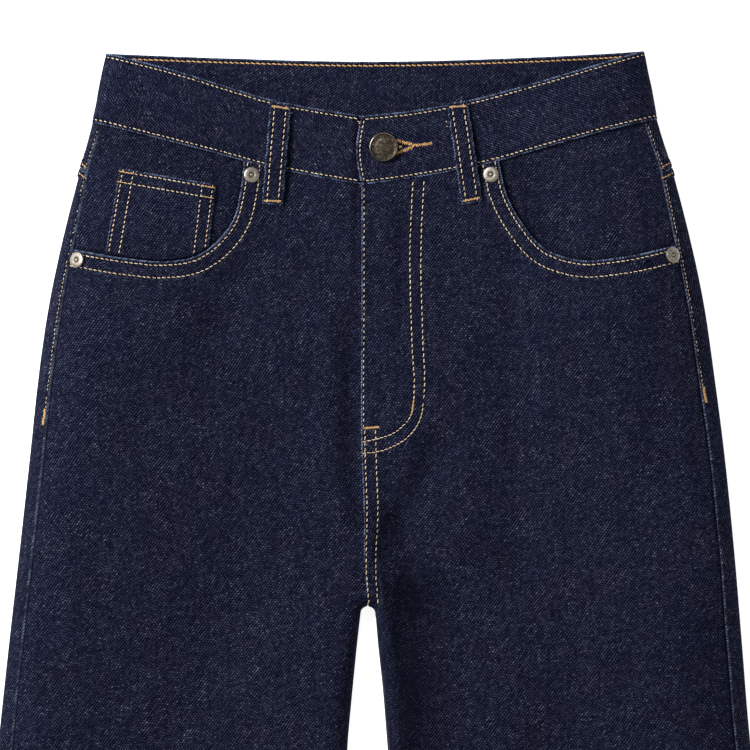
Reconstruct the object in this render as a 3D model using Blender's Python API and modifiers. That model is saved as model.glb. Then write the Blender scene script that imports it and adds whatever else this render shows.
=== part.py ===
"""High-waisted barrel jeans, laid flat on their back with the front up, as the pieces a maker sews.

Metres. +X is the wearer's left, +Y runs from the hems to the waist, +Z is up, and z = 0 is the surface that
the jeans lie on. "Drop" is the distance down the garment from the higher corner of the waist, and "right"
and "left" are the wearer's, so the right leg is at -X.

The garment is one flattened tube that splits into two at the crotch. Its outline and the height of its
folded sides come from the tables below. The front is a height over the plan, which rises steeply from the
folds at the sides and sinks towards the middle, where it comes down on the back. Each panel is a wall
between two grids of points: its outer face, and the same section with the cloth's thickness taken off.
"""

from collections import namedtuple
import math

import bmesh
import bpy
import numpy as np
from mathutils import Vector

# Driving sizes.
LENGTH = 1.050  # waist corner to hem
CLOTH = 0.0013  # one layer of denim
BAND_CLOTH = 0.0023  # the waistband's two layers
PATCH_CLOTH = 0.0012  # pockets and belt loops that lie on a panel
SEAM = 0.0003  # between pieces that meet edge to edge
LAY = 0.0006  # between layers that lie on each other
BAND_PROUD = 0.0010  # how far the waistband stands out of the panels below it
BACK_LIFT = 0.0016  # how far the back pockets and loops hold the seat off the surface
LIFT_ENDS = (0.300, 0.350)  # drops between which the back comes down to the surface
FOLD_SHARE = 0.40  # where the widest point of a folded side lies, as a share of the side's height
CROTCH = 0.3510  # drop of the top of the gap between the legs
GAP_RADIUS = 0.0047  # the round top of that gap
CENTRE_BACK = -0.0044  # x of the centre back seam and of the crotch
CLOSE = 0.00015  # half of the seam between a front and a back at the inseam

# The outline seen from above: x of the right and left sides.
Outline = namedtuple("Outline", "drop right left")
OUTLINE = [
    Outline(0.000, -0.1700, 0.1701),
    Outline(0.016, -0.1732, 0.1726),
    Outline(0.044, -0.1784, 0.1783),
    Outline(0.071, -0.1851, 0.1865),
    Outline(0.101, -0.1928, 0.1946),
    Outline(0.158, -0.2054, 0.2073),
    Outline(0.205, -0.2123, 0.2142),
    Outline(0.252, -0.2174, 0.2203),
    Outline(0.309, -0.2237, 0.2262),
    Outline(0.375, -0.2312, 0.2318),
    Outline(0.422, -0.2363, 0.2356),
    Outline(0.500, -0.2445, 0.2440),
    Outline(0.570, -0.2515, 0.2512),
    Outline(0.640, -0.2557, 0.2555),
    Outline(0.690, -0.2560, 0.2560),
    Outline(0.760, -0.2515, 0.2520),
    Outline(0.840, -0.2400, 0.2408),
    Outline(0.940, -0.2200, 0.2208),
    Outline(1.050, -0.1985, 0.1990),
]

# The folded sides: how far in from the outline each one rounds over (reach), its full height there, the
# height of the front in the middle, and the run over which it sinks from the one to the other.
Side = namedtuple("Side", "drop right_reach right_height left_reach left_height middle run")
SIDES = [
    Side(0.000, 0.014, 0.0160, 0.026, 0.0220, 0.0130, 0.100),
    Side(0.045, 0.018, 0.0200, 0.029, 0.0260, 0.0135, 0.105),
    Side(0.100, 0.030, 0.0280, 0.034, 0.0300, 0.0155, 0.115),
    Side(0.160, 0.036, 0.0325, 0.037, 0.0330, 0.0175, 0.125),
    Side(0.250, 0.036, 0.0330, 0.036, 0.0330, 0.0180, 0.125),
    Side(0.350, 0.034, 0.0315, 0.034, 0.0315, 0.0170, 0.110),
    Side(0.500, 0.030, 0.0300, 0.030, 0.0300, 0.0180, 0.085),
    Side(0.690, 0.029, 0.0300, 0.029, 0.0300, 0.0185, 0.080),
    Side(0.900, 0.022, 0.0230, 0.022, 0.0230, 0.0150, 0.070),
    Side(1.050, 0.015, 0.0170, 0.015, 0.0170, 0.0120, 0.060),
]

# The inner edges of the legs, below the gap's round top, with the same kind of rounding.
Inner = namedtuple("Inner", "drop right left reach height")
INNER = [
    Inner(0.3557, -0.0091, 0.0003, 0.009, 0.0170),
    Inner(0.3750, -0.0113, 0.0019, 0.012, 0.0195),
    Inner(0.4000, -0.0138, 0.0046, 0.015, 0.0215),
    Inner(0.4400, -0.0175, 0.0079, 0.018, 0.0235),
    Inner(0.5000, -0.0210, 0.0135, 0.020, 0.0250),
    Inner(0.6000, -0.0242, 0.0205, 0.022, 0.0260),
    Inner(0.7000, -0.0235, 0.0215, 0.022, 0.0260),
    Inner(0.8400, -0.0195, 0.0185, 0.019, 0.0225),
    Inner(1.0500, -0.0150, 0.0150, 0.012, 0.0155),
]

# How far in from the outline the outseams lie, on the front.
Outseam = namedtuple("Outseam", "drop right left")
OUTSEAMS = [
    Outseam(0.045, 0.0068, 0.0085),
    Outseam(0.075, 0.0052, 0.0079),
    Outseam(0.105, 0.0073, 0.0095),
    Outseam(0.150, 0.0083, 0.0105),
    Outseam(0.250, 0.0090, 0.0100),
    Outseam(0.440, 0.0094, 0.0100),
    Outseam(1.050, 0.0095, 0.0095),
]

# The folded edge of the left front: the fly, then the seam down to the crotch.
Front = namedtuple("Front", "drop x")
FRONT_EDGE = [
    Front(0.060, -0.0086),
    Front(0.160, -0.0086),
    Front(0.257, -0.0085),
    Front(0.292, -0.0072),
    Front(0.320, -0.0070),
    Front(0.351, -0.0044),
]
FLY_END = 0.262  # drop of the foot of the fly
FLY_LAP = 0.014  # how far the right front reaches under the left one along the fly
LAP_ENDS = 0.028  # the length below the fly over which that lap runs out
SCOOP_ROWS = 12  # rows of a front panel along its scooped edge, which fan out to the fly
FAN_END = 0.205  # drop where the last of them meets the fly
LEVEL_FROM = 0.335  # drop from which a front's rows run level

# The waistband's two edges on the front, from the outline to the fly: where the top edge and the low edge lie.
Band = namedtuple("Band", "top_x top_drop low_x low_drop")
BAND_RIGHT = [
    Band(-0.1701, 0.0013, -0.1783, 0.0454),
    Band(-0.1241, 0.0132, -0.1310, 0.0573),
    Band(-0.0914, 0.0233, -0.0964, 0.0661),
    Band(-0.0655, 0.0309, -0.0693, 0.0734),
    Band(-0.0400, 0.0360, -0.0420, 0.0789),
    Band(-0.0085, 0.0410, -0.0085, 0.0846),
    Band(0.0360, 0.0470, 0.0360, 0.0910),
]
BAND_LEFT = [
    Band(0.1701, 0.0000, 0.1783, 0.0432),
    Band(0.1330, 0.0112, 0.1421, 0.0520),
    Band(0.0977, 0.0214, 0.1071, 0.0617),
    Band(0.0586, 0.0315, 0.0674, 0.0724),
    Band(0.0240, 0.0378, 0.0284, 0.0798),
    Band(-0.0085, 0.0413, -0.0085, 0.0850),
]
# The same on the back, side to side, where the band dips a little at the centre.
BAND_BACK = [
    Band(-0.1701, 0.0013, -0.1783, 0.0454),
    Band(-0.1000, 0.0040, -0.1040, 0.0462),
    Band(CENTRE_BACK, 0.0063, CENTRE_BACK, 0.0468),
    Band(0.1000, 0.0036, 0.1040, 0.0456),
    Band(0.1701, 0.0000, 0.1783, 0.0432),
]

# The scooped edges of the hip pockets, from the waistband on; each ends on its outseam at the last drop.
Scoop = namedtuple("Scoop", "x drop")
SCOOP_RIGHT = [
    Scoop(-0.0828, 0.0700),
    Scoop(-0.0850, 0.0895),
    Scoop(-0.0896, 0.1071),
    Scoop(-0.1002, 0.1212),
    Scoop(-0.1137, 0.1302),
    Scoop(-0.1310, 0.1332),
    Scoop(-0.1560, 0.1314),
]
SCOOP_LEFT = [
    Scoop(0.0780, 0.0690),
    Scoop(0.0835, 0.0920),
    Scoop(0.0932, 0.1096),
    Scoop(0.1065, 0.1247),
    Scoop(0.1273, 0.1323),
    Scoop(0.1544, 0.1308),
]
SCOOP_END = {"right": 0.1256, "left": 0.1232}
FACING_UNDER = 0.012  # how far a facing reaches under the front past the scooped edge
FACING_DIP = 0.0008  # how much lower it lies at its hidden foot

# The largest soft troughs (negative height) and ridges in the front, each along a straight line in plan.
Fold = namedtuple("Fold", "x1 drop1 x2 drop2 width height")
FOLDS = [
    Fold(0.041, 0.246, 0.012, 0.305, 0.010, -0.0026),
    Fold(0.014, 0.310, 0.026, 0.440, 0.013, -0.0040),
    Fold(-0.018, 0.165, -0.018, 0.275, 0.007, -0.0020),
    Fold(-0.031, 0.170, -0.031, 0.270, 0.008, 0.0015),
    Fold(-0.086, 0.145, -0.114, 0.215, 0.014, -0.0026),
    Fold(0.082, 0.140, 0.088, 0.320, 0.020, -0.0032),
    Fold(-0.140, 0.300, -0.070, 0.350, 0.012, -0.0020),
    Fold(-0.190, 0.590, -0.090, 0.615, 0.013, -0.0034),
    Fold(-0.060, 0.665, -0.170, 0.690, 0.012, -0.0030),
    Fold(-0.180, 0.760, -0.100, 0.735, 0.012, -0.0024),
    Fold(0.185, 0.570, 0.100, 0.600, 0.013, -0.0032),
    Fold(0.070, 0.650, 0.175, 0.668, 0.012, -0.0030),
    Fold(0.100, 0.780, 0.165, 0.752, 0.012, -0.0026),
    Fold(-0.070, 0.900, -0.150, 0.925, 0.010, -0.0020),
    Fold(0.080, 0.935, 0.150, 0.905, 0.010, -0.0020),
]

YOKE_AT_CENTRE = 0.112  # drop of the yoke seam at the centre back
YOKE_AT_SIDE = 0.0735  # and at the side fold
YOKE_AT_OUTSEAM = 0.0775

# Belt loops on the front: the middle of each end, with the width of the strip.
Loop = namedtuple("Loop", "name top_x top_drop low_x low_drop")
FRONT_LOOPS = [
    Loop("loop_front_right", -0.0595, 0.0330, -0.0647, 0.0975),
    Loop("loop_front_left", 0.0518, 0.0325, 0.0612, 0.0965),
]
# Belt loops under the back, which lie on the surface.
BACK_LOOPS = [
    Loop("loop_back_right", -0.1100, 0.0056, -0.1140, 0.0660),
    Loop("loop_centre_back", CENTRE_BACK, 0.0080, CENTRE_BACK, 0.0680),
    Loop("loop_back_left", 0.1100, 0.0052, 0.1140, 0.0660),
]
LOOP_WIDTH = 0.0132
LOOP_ARCH = 0.0012  # how far a loop's middle stands off the band

# A back pocket: half width at the top and at the foot's corners, drops of its top edge, corners and point.
POCKET_CENTRE = 0.0985  # from the centre back
POCKET_HALF_TOP = 0.0650
POCKET_HALF_FOOT = 0.0570
POCKET_DROPS = (0.1270, 0.2600, 0.2820)

# The coin pocket on the right facing: its top edge, and its sides where they run in under the scoop.
COIN_TOP = (Scoop(-0.1606, 0.0745), Scoop(-0.1000, 0.0848))
COIN_LOW = (Scoop(-0.1697, 0.1290), Scoop(-0.1046, 0.1238))

COIN_CLEAR = 0.0012  # between its cut foot and the front's scooped edge

BUTTON_AT = (0.0055, 0.0611)  # x and drop
BUTTON_RADIUS = 0.0090
BUTTON_HEIGHT = 0.0036
SHANK_RADIUS = 0.0026
EYE_RADIUS = 0.0032  # the eye of the buttonhole, round the shank

Rivet = namedtuple("Rivet", "name x drop")
RIVETS = [
    Rivet("rivet_right_inner", -0.0779, 0.0786),
    Rivet("rivet_right_outer", -0.1868, 0.1326),
    Rivet("rivet_left_inner", 0.0733, 0.0784),
    Rivet("rivet_left_outer", 0.1866, 0.1295),
]
RIVET_RADIUS = 0.0050
RIVET_HEIGHT = 0.0022
SEATED = 0.0004  # under a rivet, the button's rim or a front loop's ends

TOP_Y = LENGTH / 2  # y of drop 0

DENIM = ("denim", (0.017, 0.020, 0.042), 0.85, 0.0)
BRASS = ("button_brass", (0.16, 0.12, 0.07), 0.42, 1.0)
NICKEL = ("rivet_nickel", (0.75, 0.70, 0.64), 0.32, 1.0)


# ---------------------------------------------------------------------------------------------- curves

def spline(knots, values, at):
    """Values at the given places on a smooth curve through a table's column."""
    knots = np.asarray(knots, float)
    values = np.asarray(values, float)
    slopes = np.gradient(values, knots)
    at = np.clip(np.asarray(at, float), knots[0], knots[-1])
    row = np.clip(np.searchsorted(knots, at) - 1, 0, len(knots) - 2)
    step = knots[row + 1] - knots[row]
    t = (at - knots[row]) / step
    ends = values[row] * (1 + 2 * t) * (1 - t) ** 2 + values[row + 1] * t ** 2 * (3 - 2 * t)
    bends = slopes[row] * step * t * (1 - t) ** 2 + slopes[row + 1] * step * t ** 2 * (t - 1)
    return ends + bends


def column(table, name, drop):
    """One column of a table whose rows go by drop, read at the given drops."""
    return spline([row.drop for row in table], [getattr(row, name) for row in table], drop)


def along(table, share):
    """Points on a smooth curve through a table's rows, at shares of its length: one array for each column."""
    rows = np.array(table, float)
    steps = np.linalg.norm(np.diff(rows[:, :2], axis=0), axis=1)
    length = np.concatenate([[0.0], np.cumsum(steps)])
    return [spline(length, rows[:, i], np.asarray(share) * length[-1]) for i in range(rows.shape[1])]


def ease(t):
    """0 to 1, smooth at both ends."""
    t = np.clip(t, 0, 1)
    return (1 - np.cos(np.pi * t)) / 2


def outline_x(side, drop):
    return column(OUTLINE, side, drop)


def outseam_x(side, drop):
    inward = 1 if side == "right" else -1
    return outline_x(side, drop) + inward * column(OUTSEAMS, side, drop)


def scoop_rows(side):
    """The scooped edge with its end on the outseam."""
    rows = SCOOP_RIGHT if side == "right" else SCOOP_LEFT
    inward = 1 if side == "right" else -1
    end = SCOOP_END[side]
    return rows + [Scoop(float(outseam_x(side, end)) + inward * SEAM / 2, end)]


def band_low_drop(table, x):
    """Drop of the waistband's low edge, on the front or the back, at the given x."""
    rows = sorted(table, key=lambda row: row.low_x)
    return spline([row.low_x for row in rows], [row.low_drop for row in rows], x)


# ------------------------------------------------------------------------------------------- the section

def gap_distance(x, drop):
    """Distance in plan from the gap between the legs, and the direction (x, y) away from it."""
    foot = CROTCH + GAP_RADIUS
    across, up = x - CENTRE_BACK, foot - drop
    round_length = np.maximum(np.hypot(across, up), 1e-9)
    level = np.maximum(drop, foot)
    on_left = across > 0
    edge = np.where(on_left, column(INNER, "left", level), column(INNER, "right", level))
    beside = np.where(on_left, x - edge, edge - x)
    above = drop < foot
    distance = np.where(above, round_length - GAP_RADIUS, beside)
    away_x = np.where(above, across / round_length, np.where(on_left, 1.0, -1.0))
    away_y = np.where(above, up / round_length, 0.0)
    return np.maximum(distance, 0), away_x, away_y


def rounding(x, drop):
    """The nearest folded edge: cos and sin of the angle round it, the plan direction inward, its height."""
    gap, gap_x, gap_y = gap_distance(x, drop)
    level = np.maximum(drop, INNER[0].drop)
    folds = [
        (x - outline_x("right", drop), column(SIDES, "right_reach", drop), column(SIDES, "right_height", drop),
         np.ones_like(x), np.zeros_like(x)),
        (outline_x("left", drop) - x, column(SIDES, "left_reach", drop), column(SIDES, "left_height", drop),
         -np.ones_like(x), np.zeros_like(x)),
        (gap, column(INNER, "reach", level), column(INNER, "height", level), gap_x, gap_y),
    ]
    shares = np.array([np.clip(fold[0] / fold[1], 0, 1) for fold in folds])
    nearest = shares.argmin(axis=0)
    share = shares.min(axis=0)
    heights, in_x, in_y = (np.choose(nearest, [fold[i] for fold in folds]) for i in (2, 3, 4))
    return 1 - share, np.sqrt(1 - (1 - share) ** 2), in_x, in_y, FOLD_SHARE * heights


def fold_height(x, drop):
    """What the largest folds add to the front's height."""
    total = np.zeros_like(x)
    for fold in FOLDS:
        run_x, run_drop = fold.x2 - fold.x1, fold.drop2 - fold.drop1
        share = ((x - fold.x1) * run_x + (drop - fold.drop1) * run_drop) / (run_x ** 2 + run_drop ** 2)
        share = np.clip(share, 0, 1)
        off = np.hypot(x - fold.x1 - share * run_x, drop - fold.drop1 - share * run_drop)
        total += fold.height * np.exp(-(off / fold.width) ** 2)
    return total


def front_height(x, drop):
    """Height of the front before its edges round over: high along the folded sides, low in the middle."""
    middle, run = column(SIDES, "middle", drop), column(SIDES, "run", drop)
    height = middle + fold_height(x, drop)
    for side, inward in (("right", 1), ("left", -1)):
        past = (x - outline_x(side, drop)) * inward - column(SIDES, side + "_reach", drop)
        height += (column(SIDES, side + "_height", drop) - middle) * (1 - ease(past / run))
    level = np.maximum(drop, INNER[0].drop)
    past = gap_distance(x, drop)[0] - column(INNER, "reach", level)
    height += (column(INNER, "height", level) - middle) * (1 - ease(past / run)) * (drop > CROTCH)
    return height


def front_wall(x, drop, out=0.0, wall=CLOTH):
    """Outer and inner points of a layer of the front, moved out along the surface, at plan points."""
    cos, sin, in_x, in_y, widest = rounding(x, drop)
    z = widest + (front_height(x, drop) - widest) * sin
    y = TOP_Y - drop
    outer = np.stack([x - in_x * out * cos, y - in_y * out * cos, z + out * sin], axis=-1)
    inner = outer + wall * np.stack([in_x * cos, in_y * cos, -sin], axis=-1)
    return outer, inner


def back_wall(x, drop, wall=CLOTH):
    """The same for the back, whose outer face is the flat underside."""
    cos, sin, in_x, in_y, widest = rounding(x, drop)
    lift = BACK_LIFT * (1 - ease((drop - LIFT_ENDS[0]) / (LIFT_ENDS[1] - LIFT_ENDS[0])))
    outer = np.stack([x, TOP_Y - drop, lift + (widest - lift) * (1 - sin)], axis=-1)
    inner = outer + wall * np.stack([in_x * cos, in_y * cos, sin], axis=-1)
    return outer, inner


# ------------------------------------------------------------------------------------------ making pieces

def clear_scene():
    for obj in list(bpy.data.objects):
        bpy.data.objects.remove(obj, do_unlink=True)


def new_collection(name):
    made = bpy.data.collections.new(name)
    bpy.context.scene.collection.children.link(made)
    return made


def material(spec):
    name, colour, roughness, metallic = spec
    made = bpy.data.materials.get(name) or bpy.data.materials.new(name)
    made.use_nodes = True
    shader = made.node_tree.nodes["Principled BSDF"]
    shader.inputs["Base Color"].default_value = (*colour, 1)
    shader.inputs["Roughness"].default_value = roughness
    shader.inputs["Metallic"].default_value = metallic
    return made


def add_object(name, mesh, spec, collection):
    mesh.materials.append(material(spec))
    obj = bpy.data.objects.new(name, mesh)
    collection.objects.link(obj)
    return obj


def shell(name, outer, inner, collection, spec=DENIM):
    """A closed wall between two grids of points, rows by columns."""
    rows, columns = outer.shape[:2]
    cells = rows * columns
    index = np.arange(cells).reshape(rows, columns)
    faces = []
    for i in range(rows - 1):
        for j in range(columns - 1):
            quad = (index[i, j], index[i, j + 1], index[i + 1, j + 1], index[i + 1, j])
            faces.append(quad)
            faces.append(tuple(cells + corner for corner in reversed(quad)))
    rim = list(index[0, :-1]) + list(index[:-1, -1]) + list(index[-1, :0:-1]) + list(index[:0:-1, 0])
    for here, there in zip(rim, rim[1:] + rim[:1]):
        faces.append((there, here, cells + here, cells + there))
    mesh = bpy.data.meshes.new(name)
    points = np.concatenate([outer.reshape(-1, 3), inner.reshape(-1, 3)])
    mesh.from_pydata(points.tolist(), [], [tuple(int(corner) for corner in face) for face in faces])
    shape = bmesh.new()
    shape.from_mesh(mesh)
    bmesh.ops.recalc_face_normals(shape, faces=shape.faces)
    shape.to_mesh(mesh)
    shape.free()
    mesh.shade_smooth()
    mesh.set_sharp_from_angle(angle=math.radians(40))
    return add_object(name, mesh, spec, collection)


def round_steps(start, count):
    """Shares of a fold's reach, at even angles round it from the share where the piece starts."""
    first = math.acos(1 - min(start, 1))
    return 1 - np.cos(np.linspace(first, math.pi / 2, count))


# ----------------------------------------------------------------------------------------------- panels

def leg_drops():
    """Levels below the scooped pockets, close together at the round top of the gap."""
    above = np.linspace(FAN_END + 0.016, CROTCH - 0.016, 7)
    near = [CROTCH - 0.008, CROTCH - 0.003]
    below = [CROTCH, CROTCH + 0.0014, CROTCH + GAP_RADIUS]
    legs = np.concatenate([np.linspace(0.366, 0.510, 6), np.linspace(0.552, LENGTH, 11)])
    return np.concatenate([above, near, below, legs])


def gap_edge_x(side, drop):
    """x of the leg's inner edge, from the top of the gap down."""
    foot = CROTCH + GAP_RADIUS
    up = np.clip(foot - drop, 0, GAP_RADIUS)
    sign = -1 if side == "right" else 1
    round_x = CENTRE_BACK + sign * np.sqrt(GAP_RADIUS ** 2 - up ** 2)
    return np.where(drop < foot, round_x, column(INNER, side, np.maximum(drop, foot)))


def front_inner_x(side, drop):
    """x of a front's inner boundary: the fly and the seam below it, then the leg's inner edge."""
    sign = -1 if side == "right" else 1
    seam = column(FRONT_EDGE, "x", drop) + sign * SEAM / 2
    return np.where(drop <= CROTCH, seam, gap_edge_x(side, drop) + sign * CLOSE / 10)


def front_rails(side):
    """The drops and x of a front's outer and inner ends, row by row: down the scoop, then down the leg."""
    sign = -1 if side == "right" else 1
    share = np.linspace(0, 1, SCOOP_ROWS)
    scoop_x, scoop_drop = along(scoop_rows(side), share)
    levels = leg_drops()
    band = BAND_RIGHT[5] if side == "right" else BAND_LEFT[5]
    inner_top = np.linspace(band.low_drop + SEAM, FAN_END, SCOOP_ROWS)
    lag = (FAN_END - scoop_drop[-1]) * np.clip((LEVEL_FROM - levels) / (LEVEL_FROM - FAN_END), 0, 1)
    outer_drop = np.concatenate([scoop_drop, levels - lag])
    inner_drop = np.concatenate([inner_top, levels])
    seam_x = outseam_x(side, outer_drop[SCOOP_ROWS:]) - sign * SEAM / 2
    return np.concatenate([scoop_x, seam_x]), outer_drop, inner_drop


def front_plan(side, middle_columns=8, fold_columns=4):
    """Plan points (x, drop) of a front panel, rows by columns from the outer to the inner boundary."""
    outer_x, outer_drop, inner_drop = front_rails(side)
    inner_x = front_inner_x(side, inner_drop)
    inner_level = np.maximum(inner_drop, INNER[0].drop)
    inner_steps = round_steps(0, fold_columns + 1)[::-1]
    xs = []
    for row in range(len(outer_x)):
        width = abs(inner_x[row] - outer_x[row])
        inner_reach = float(column(INNER, "reach", inner_level[row]))
        outer_reach = float(column(SIDES, side + "_reach", outer_drop[row]))
        inset = abs(outer_x[row] - float(outline_x(side, outer_drop[row])))
        if inset < outer_reach:
            outer_parts = round_steps(inset / outer_reach, fold_columns) * outer_reach - inset
        else:
            outer_parts = np.linspace(0, 0.018, fold_columns)
        inner_parts = width - inner_steps * inner_reach
        between = np.linspace(outer_parts[-1], inner_parts[0], middle_columns + 1)[1:-1]
        parts = np.concatenate([outer_parts, between, inner_parts]) / width
        xs.append(outer_x[row] + parts * (inner_x[row] - outer_x[row]))
    xs = np.array(xs)
    if side == "right":
        lap_past_seam(xs, inner_x, inner_drop)
    share = (xs - outer_x[:, None]) / (inner_x - outer_x)[:, None]
    drops = outer_drop[:, None] + share * (inner_drop - outer_drop)[:, None]
    drops[0] = band_low_drop(BAND_RIGHT if side == "right" else BAND_LEFT, xs[0]) + SEAM
    return xs, drops


def lap_past_seam(xs, seam_x, seam_drop):
    """Moves the last columns of the right front past the fly's edge, to pass under the left front."""
    at_fly = (1 - ease((seam_drop - FLY_END) / LAP_ENDS))[:, None]
    under = seam_x[:, None] + np.array([-0.0080, -0.0015, FLY_LAP / 2, FLY_LAP])
    xs[:, -4:] += at_fly * (under - xs[:, -4:])


def sunk_at_fly(x, drop):
    """How far the right front sinks to pass under the left one along the fly."""
    edge = column(FRONT_EDGE, "x", drop)
    depth = 1 - ease((drop - FLY_END - LAP_ENDS) / LAP_ENDS)
    return (CLOTH + LAY) * depth * ease((x - edge + 0.008) / 0.006)


def make_front(side, collection):
    xs, drops = front_plan(side)
    out = -sunk_at_fly(xs, drops) if side == "right" else 0.0
    outer, inner = front_wall(xs, drops, out)
    lift_inseam(outer, inner, drops)
    return shell("front_" + side, outer, inner, collection)


def lift_inseam(outer, inner, drops):
    """Parts a front from the back along the leg's inner edge, where both stand upright."""
    on_leg = drops[:, -1] >= CROTCH - 1e-6
    for grid in (outer, inner):
        grid[on_leg, -1, 2] += CLOSE


def back_plan(side, drops_centre, drops_side, drops_seam, under_columns=8, fold_columns=4):
    """Plan points of a back piece: the underside from the centre to the side fold, then up to the outseam."""
    sign = -1 if side == "right" else 1
    count = len(drops_centre)
    inner_x = np.where(
        drops_centre < CROTCH, CENTRE_BACK + sign * SEAM / 2, gap_edge_x(side, drops_centre) + sign * CLOSE / 10
    )
    side_x = outline_x(side, drops_side)
    seam_x = outseam_x(side, drops_seam) + sign * SEAM / 2
    inner_level = np.maximum(drops_centre, INNER[0].drop)
    under, top = [], []
    for row in range(count):
        width = abs(side_x[row] - inner_x[row])
        inner_parts = round_steps(0, fold_columns + 1) * float(column(INNER, "reach", inner_level[row]))
        reach = float(column(SIDES, side + "_reach", drops_side[row]))
        outer_parts = width - round_steps(0, fold_columns + 1)[::-1] * reach
        between = np.linspace(inner_parts[-1], outer_parts[0], under_columns)[1:-1]
        share = np.concatenate([inner_parts, between, outer_parts]) / width
        drop = drops_centre[row] + share * (drops_side[row] - drops_centre[row])
        under.append(np.stack([inner_x[row] + share * (side_x[row] - inner_x[row]), drop], axis=-1))
        inset = abs(seam_x[row] - side_x[row])
        steps = 1 - np.cos(np.linspace(0, math.acos(max(1 - inset / reach, 0)), fold_columns)[1:])
        share = np.minimum(steps * reach / inset, 1)
        drop = drops_side[row] + share * (drops_seam[row] - drops_side[row])
        edge = outline_x(side, drop)
        top.append(np.stack([edge + share * (seam_x[row] - edge), drop], axis=-1))
    return np.array(under), np.array(top)


def make_back_piece(name, side, rails, collection):
    """A yoke or a back panel, from its rows' drops at the centre back, the side fold and the outseam."""
    under, top = back_plan(side, *rails)
    if name.startswith("yoke"):
        under[0, :, 1] = band_low_drop(BAND_BACK, under[0, :, 0]) + SEAM
    under_walls = back_wall(under[..., 0], under[..., 1])
    top_walls = front_wall(top[..., 0], top[..., 1])
    outer, inner = (np.concatenate(pair, axis=1) for pair in zip(under_walls, top_walls))
    on_leg = rails[0] >= CROTCH - 1e-6
    for grid in (outer, inner):
        grid[on_leg, 0, 2] -= CLOSE
    return shell(name, outer, inner, collection)


def yoke_rails(side):
    band = BAND_RIGHT[0] if side == "right" else BAND_LEFT[0]
    share = np.linspace(0, 1, 4)
    tops = (BAND_BACK[2].low_drop, band.low_drop, band.low_drop + 0.0030)
    feet = (YOKE_AT_CENTRE, YOKE_AT_SIDE, YOKE_AT_OUTSEAM)
    return [top + SEAM + share * (foot - top - 2 * SEAM) for top, foot in zip(tops, feet)]


def back_rails():
    """Rows of a back panel: from the yoke's slanted seam they level out on the way to the seat."""
    levels = leg_drops()
    seat = np.linspace(0, 1, 5)[:-1]
    tops = (YOKE_AT_CENTRE, YOKE_AT_SIDE, YOKE_AT_OUTSEAM)
    return [np.concatenate([top + seat * (levels[0] - top), levels]) for top in tops]


def make_facing(side, collection):
    """The cloth seen inside a scooped pocket: it hangs from the waistband and passes under the front."""
    scoop = scoop_rows(side)
    sign = -1 if side == "right" else 1
    across = np.linspace(0, 1, 9) ** 1.2
    scoop_x, scoop_drop = along(scoop, 1 - across * 0.93)
    ahead_x, ahead_drop = along(scoop, np.clip(1 - across * 0.93 + 0.01, 0, 1))
    behind_x, behind_drop = along(scoop, np.clip(1 - across * 0.93 - 0.01, 0, 1))
    run_x, run_drop = ahead_x - behind_x, ahead_drop - behind_drop
    length = np.hypot(run_x, run_drop)
    low_x = scoop_x - sign * FACING_UNDER * run_drop / length
    low_drop = scoop_drop + sign * FACING_UNDER * run_x / length
    low_x[0] = outseam_x(side, low_drop[0]) - sign * SEAM
    start = outseam_x(side, 0.049) - sign * SEAM
    top_x = start + across * (scoop[0].x - sign * 0.018 - start)
    top_drop = band_low_drop(BAND_RIGHT if side == "right" else BAND_LEFT, top_x) + SEAM
    down = np.linspace(0, 1, 8)[:, None]
    xs = top_x + down * (low_x - top_x)
    drops = top_drop + down * (low_drop - top_drop)
    xs[:, 0] = outseam_x(side, drops[:, 0]) - sign * SEAM
    outer, inner = front_wall(xs, drops, out=-(CLOTH + LAY) - FACING_DIP * down ** 4)
    return shell("facing_" + side, outer, inner, collection)


def make_coin_pocket(collection):
    """A patch on the right facing, cut off where it runs in under the front's scooped edge."""
    across = np.linspace(0, 1, 7)
    down = np.linspace(0, 1, 5)[:, None]
    top_x = COIN_TOP[0].x + across * (COIN_TOP[1].x - COIN_TOP[0].x)
    top_drop = COIN_TOP[0].drop + across * (COIN_TOP[1].drop - COIN_TOP[0].drop)
    low_x = COIN_LOW[0].x + across * (COIN_LOW[1].x - COIN_LOW[0].x)
    edge_x, edge_drop = along(scoop_rows("right"), np.linspace(1, 0, 60))
    low_drop = np.interp(low_x, edge_x, edge_drop) - COIN_CLEAR
    xs = top_x + down * (low_x - top_x)
    drops = top_drop + down * (low_drop - top_drop)
    outer, inner = front_wall(xs, drops, out=-CLOTH + PATCH_CLOTH, wall=PATCH_CLOTH - LAY / 2)
    return shell("coin_pocket", outer, inner, collection)


# ---------------------------------------------------------------------------------------------- waistband

def band_strip(rows, shares, out):
    """Outer and inner points across the waistband on the front, at shares of the way along its table."""
    top_x, top_drop, low_x, low_drop = along(rows, shares)
    across = np.linspace(0, 1, 3)[:, None]
    xs = low_x + across * (top_x - low_x)
    drops = low_drop + across * (top_drop - low_drop)
    proud = BAND_PROUD * rounding(xs, drops)[1]
    return front_wall(xs, drops, out=proud + out, wall=BAND_CLOTH)


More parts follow.
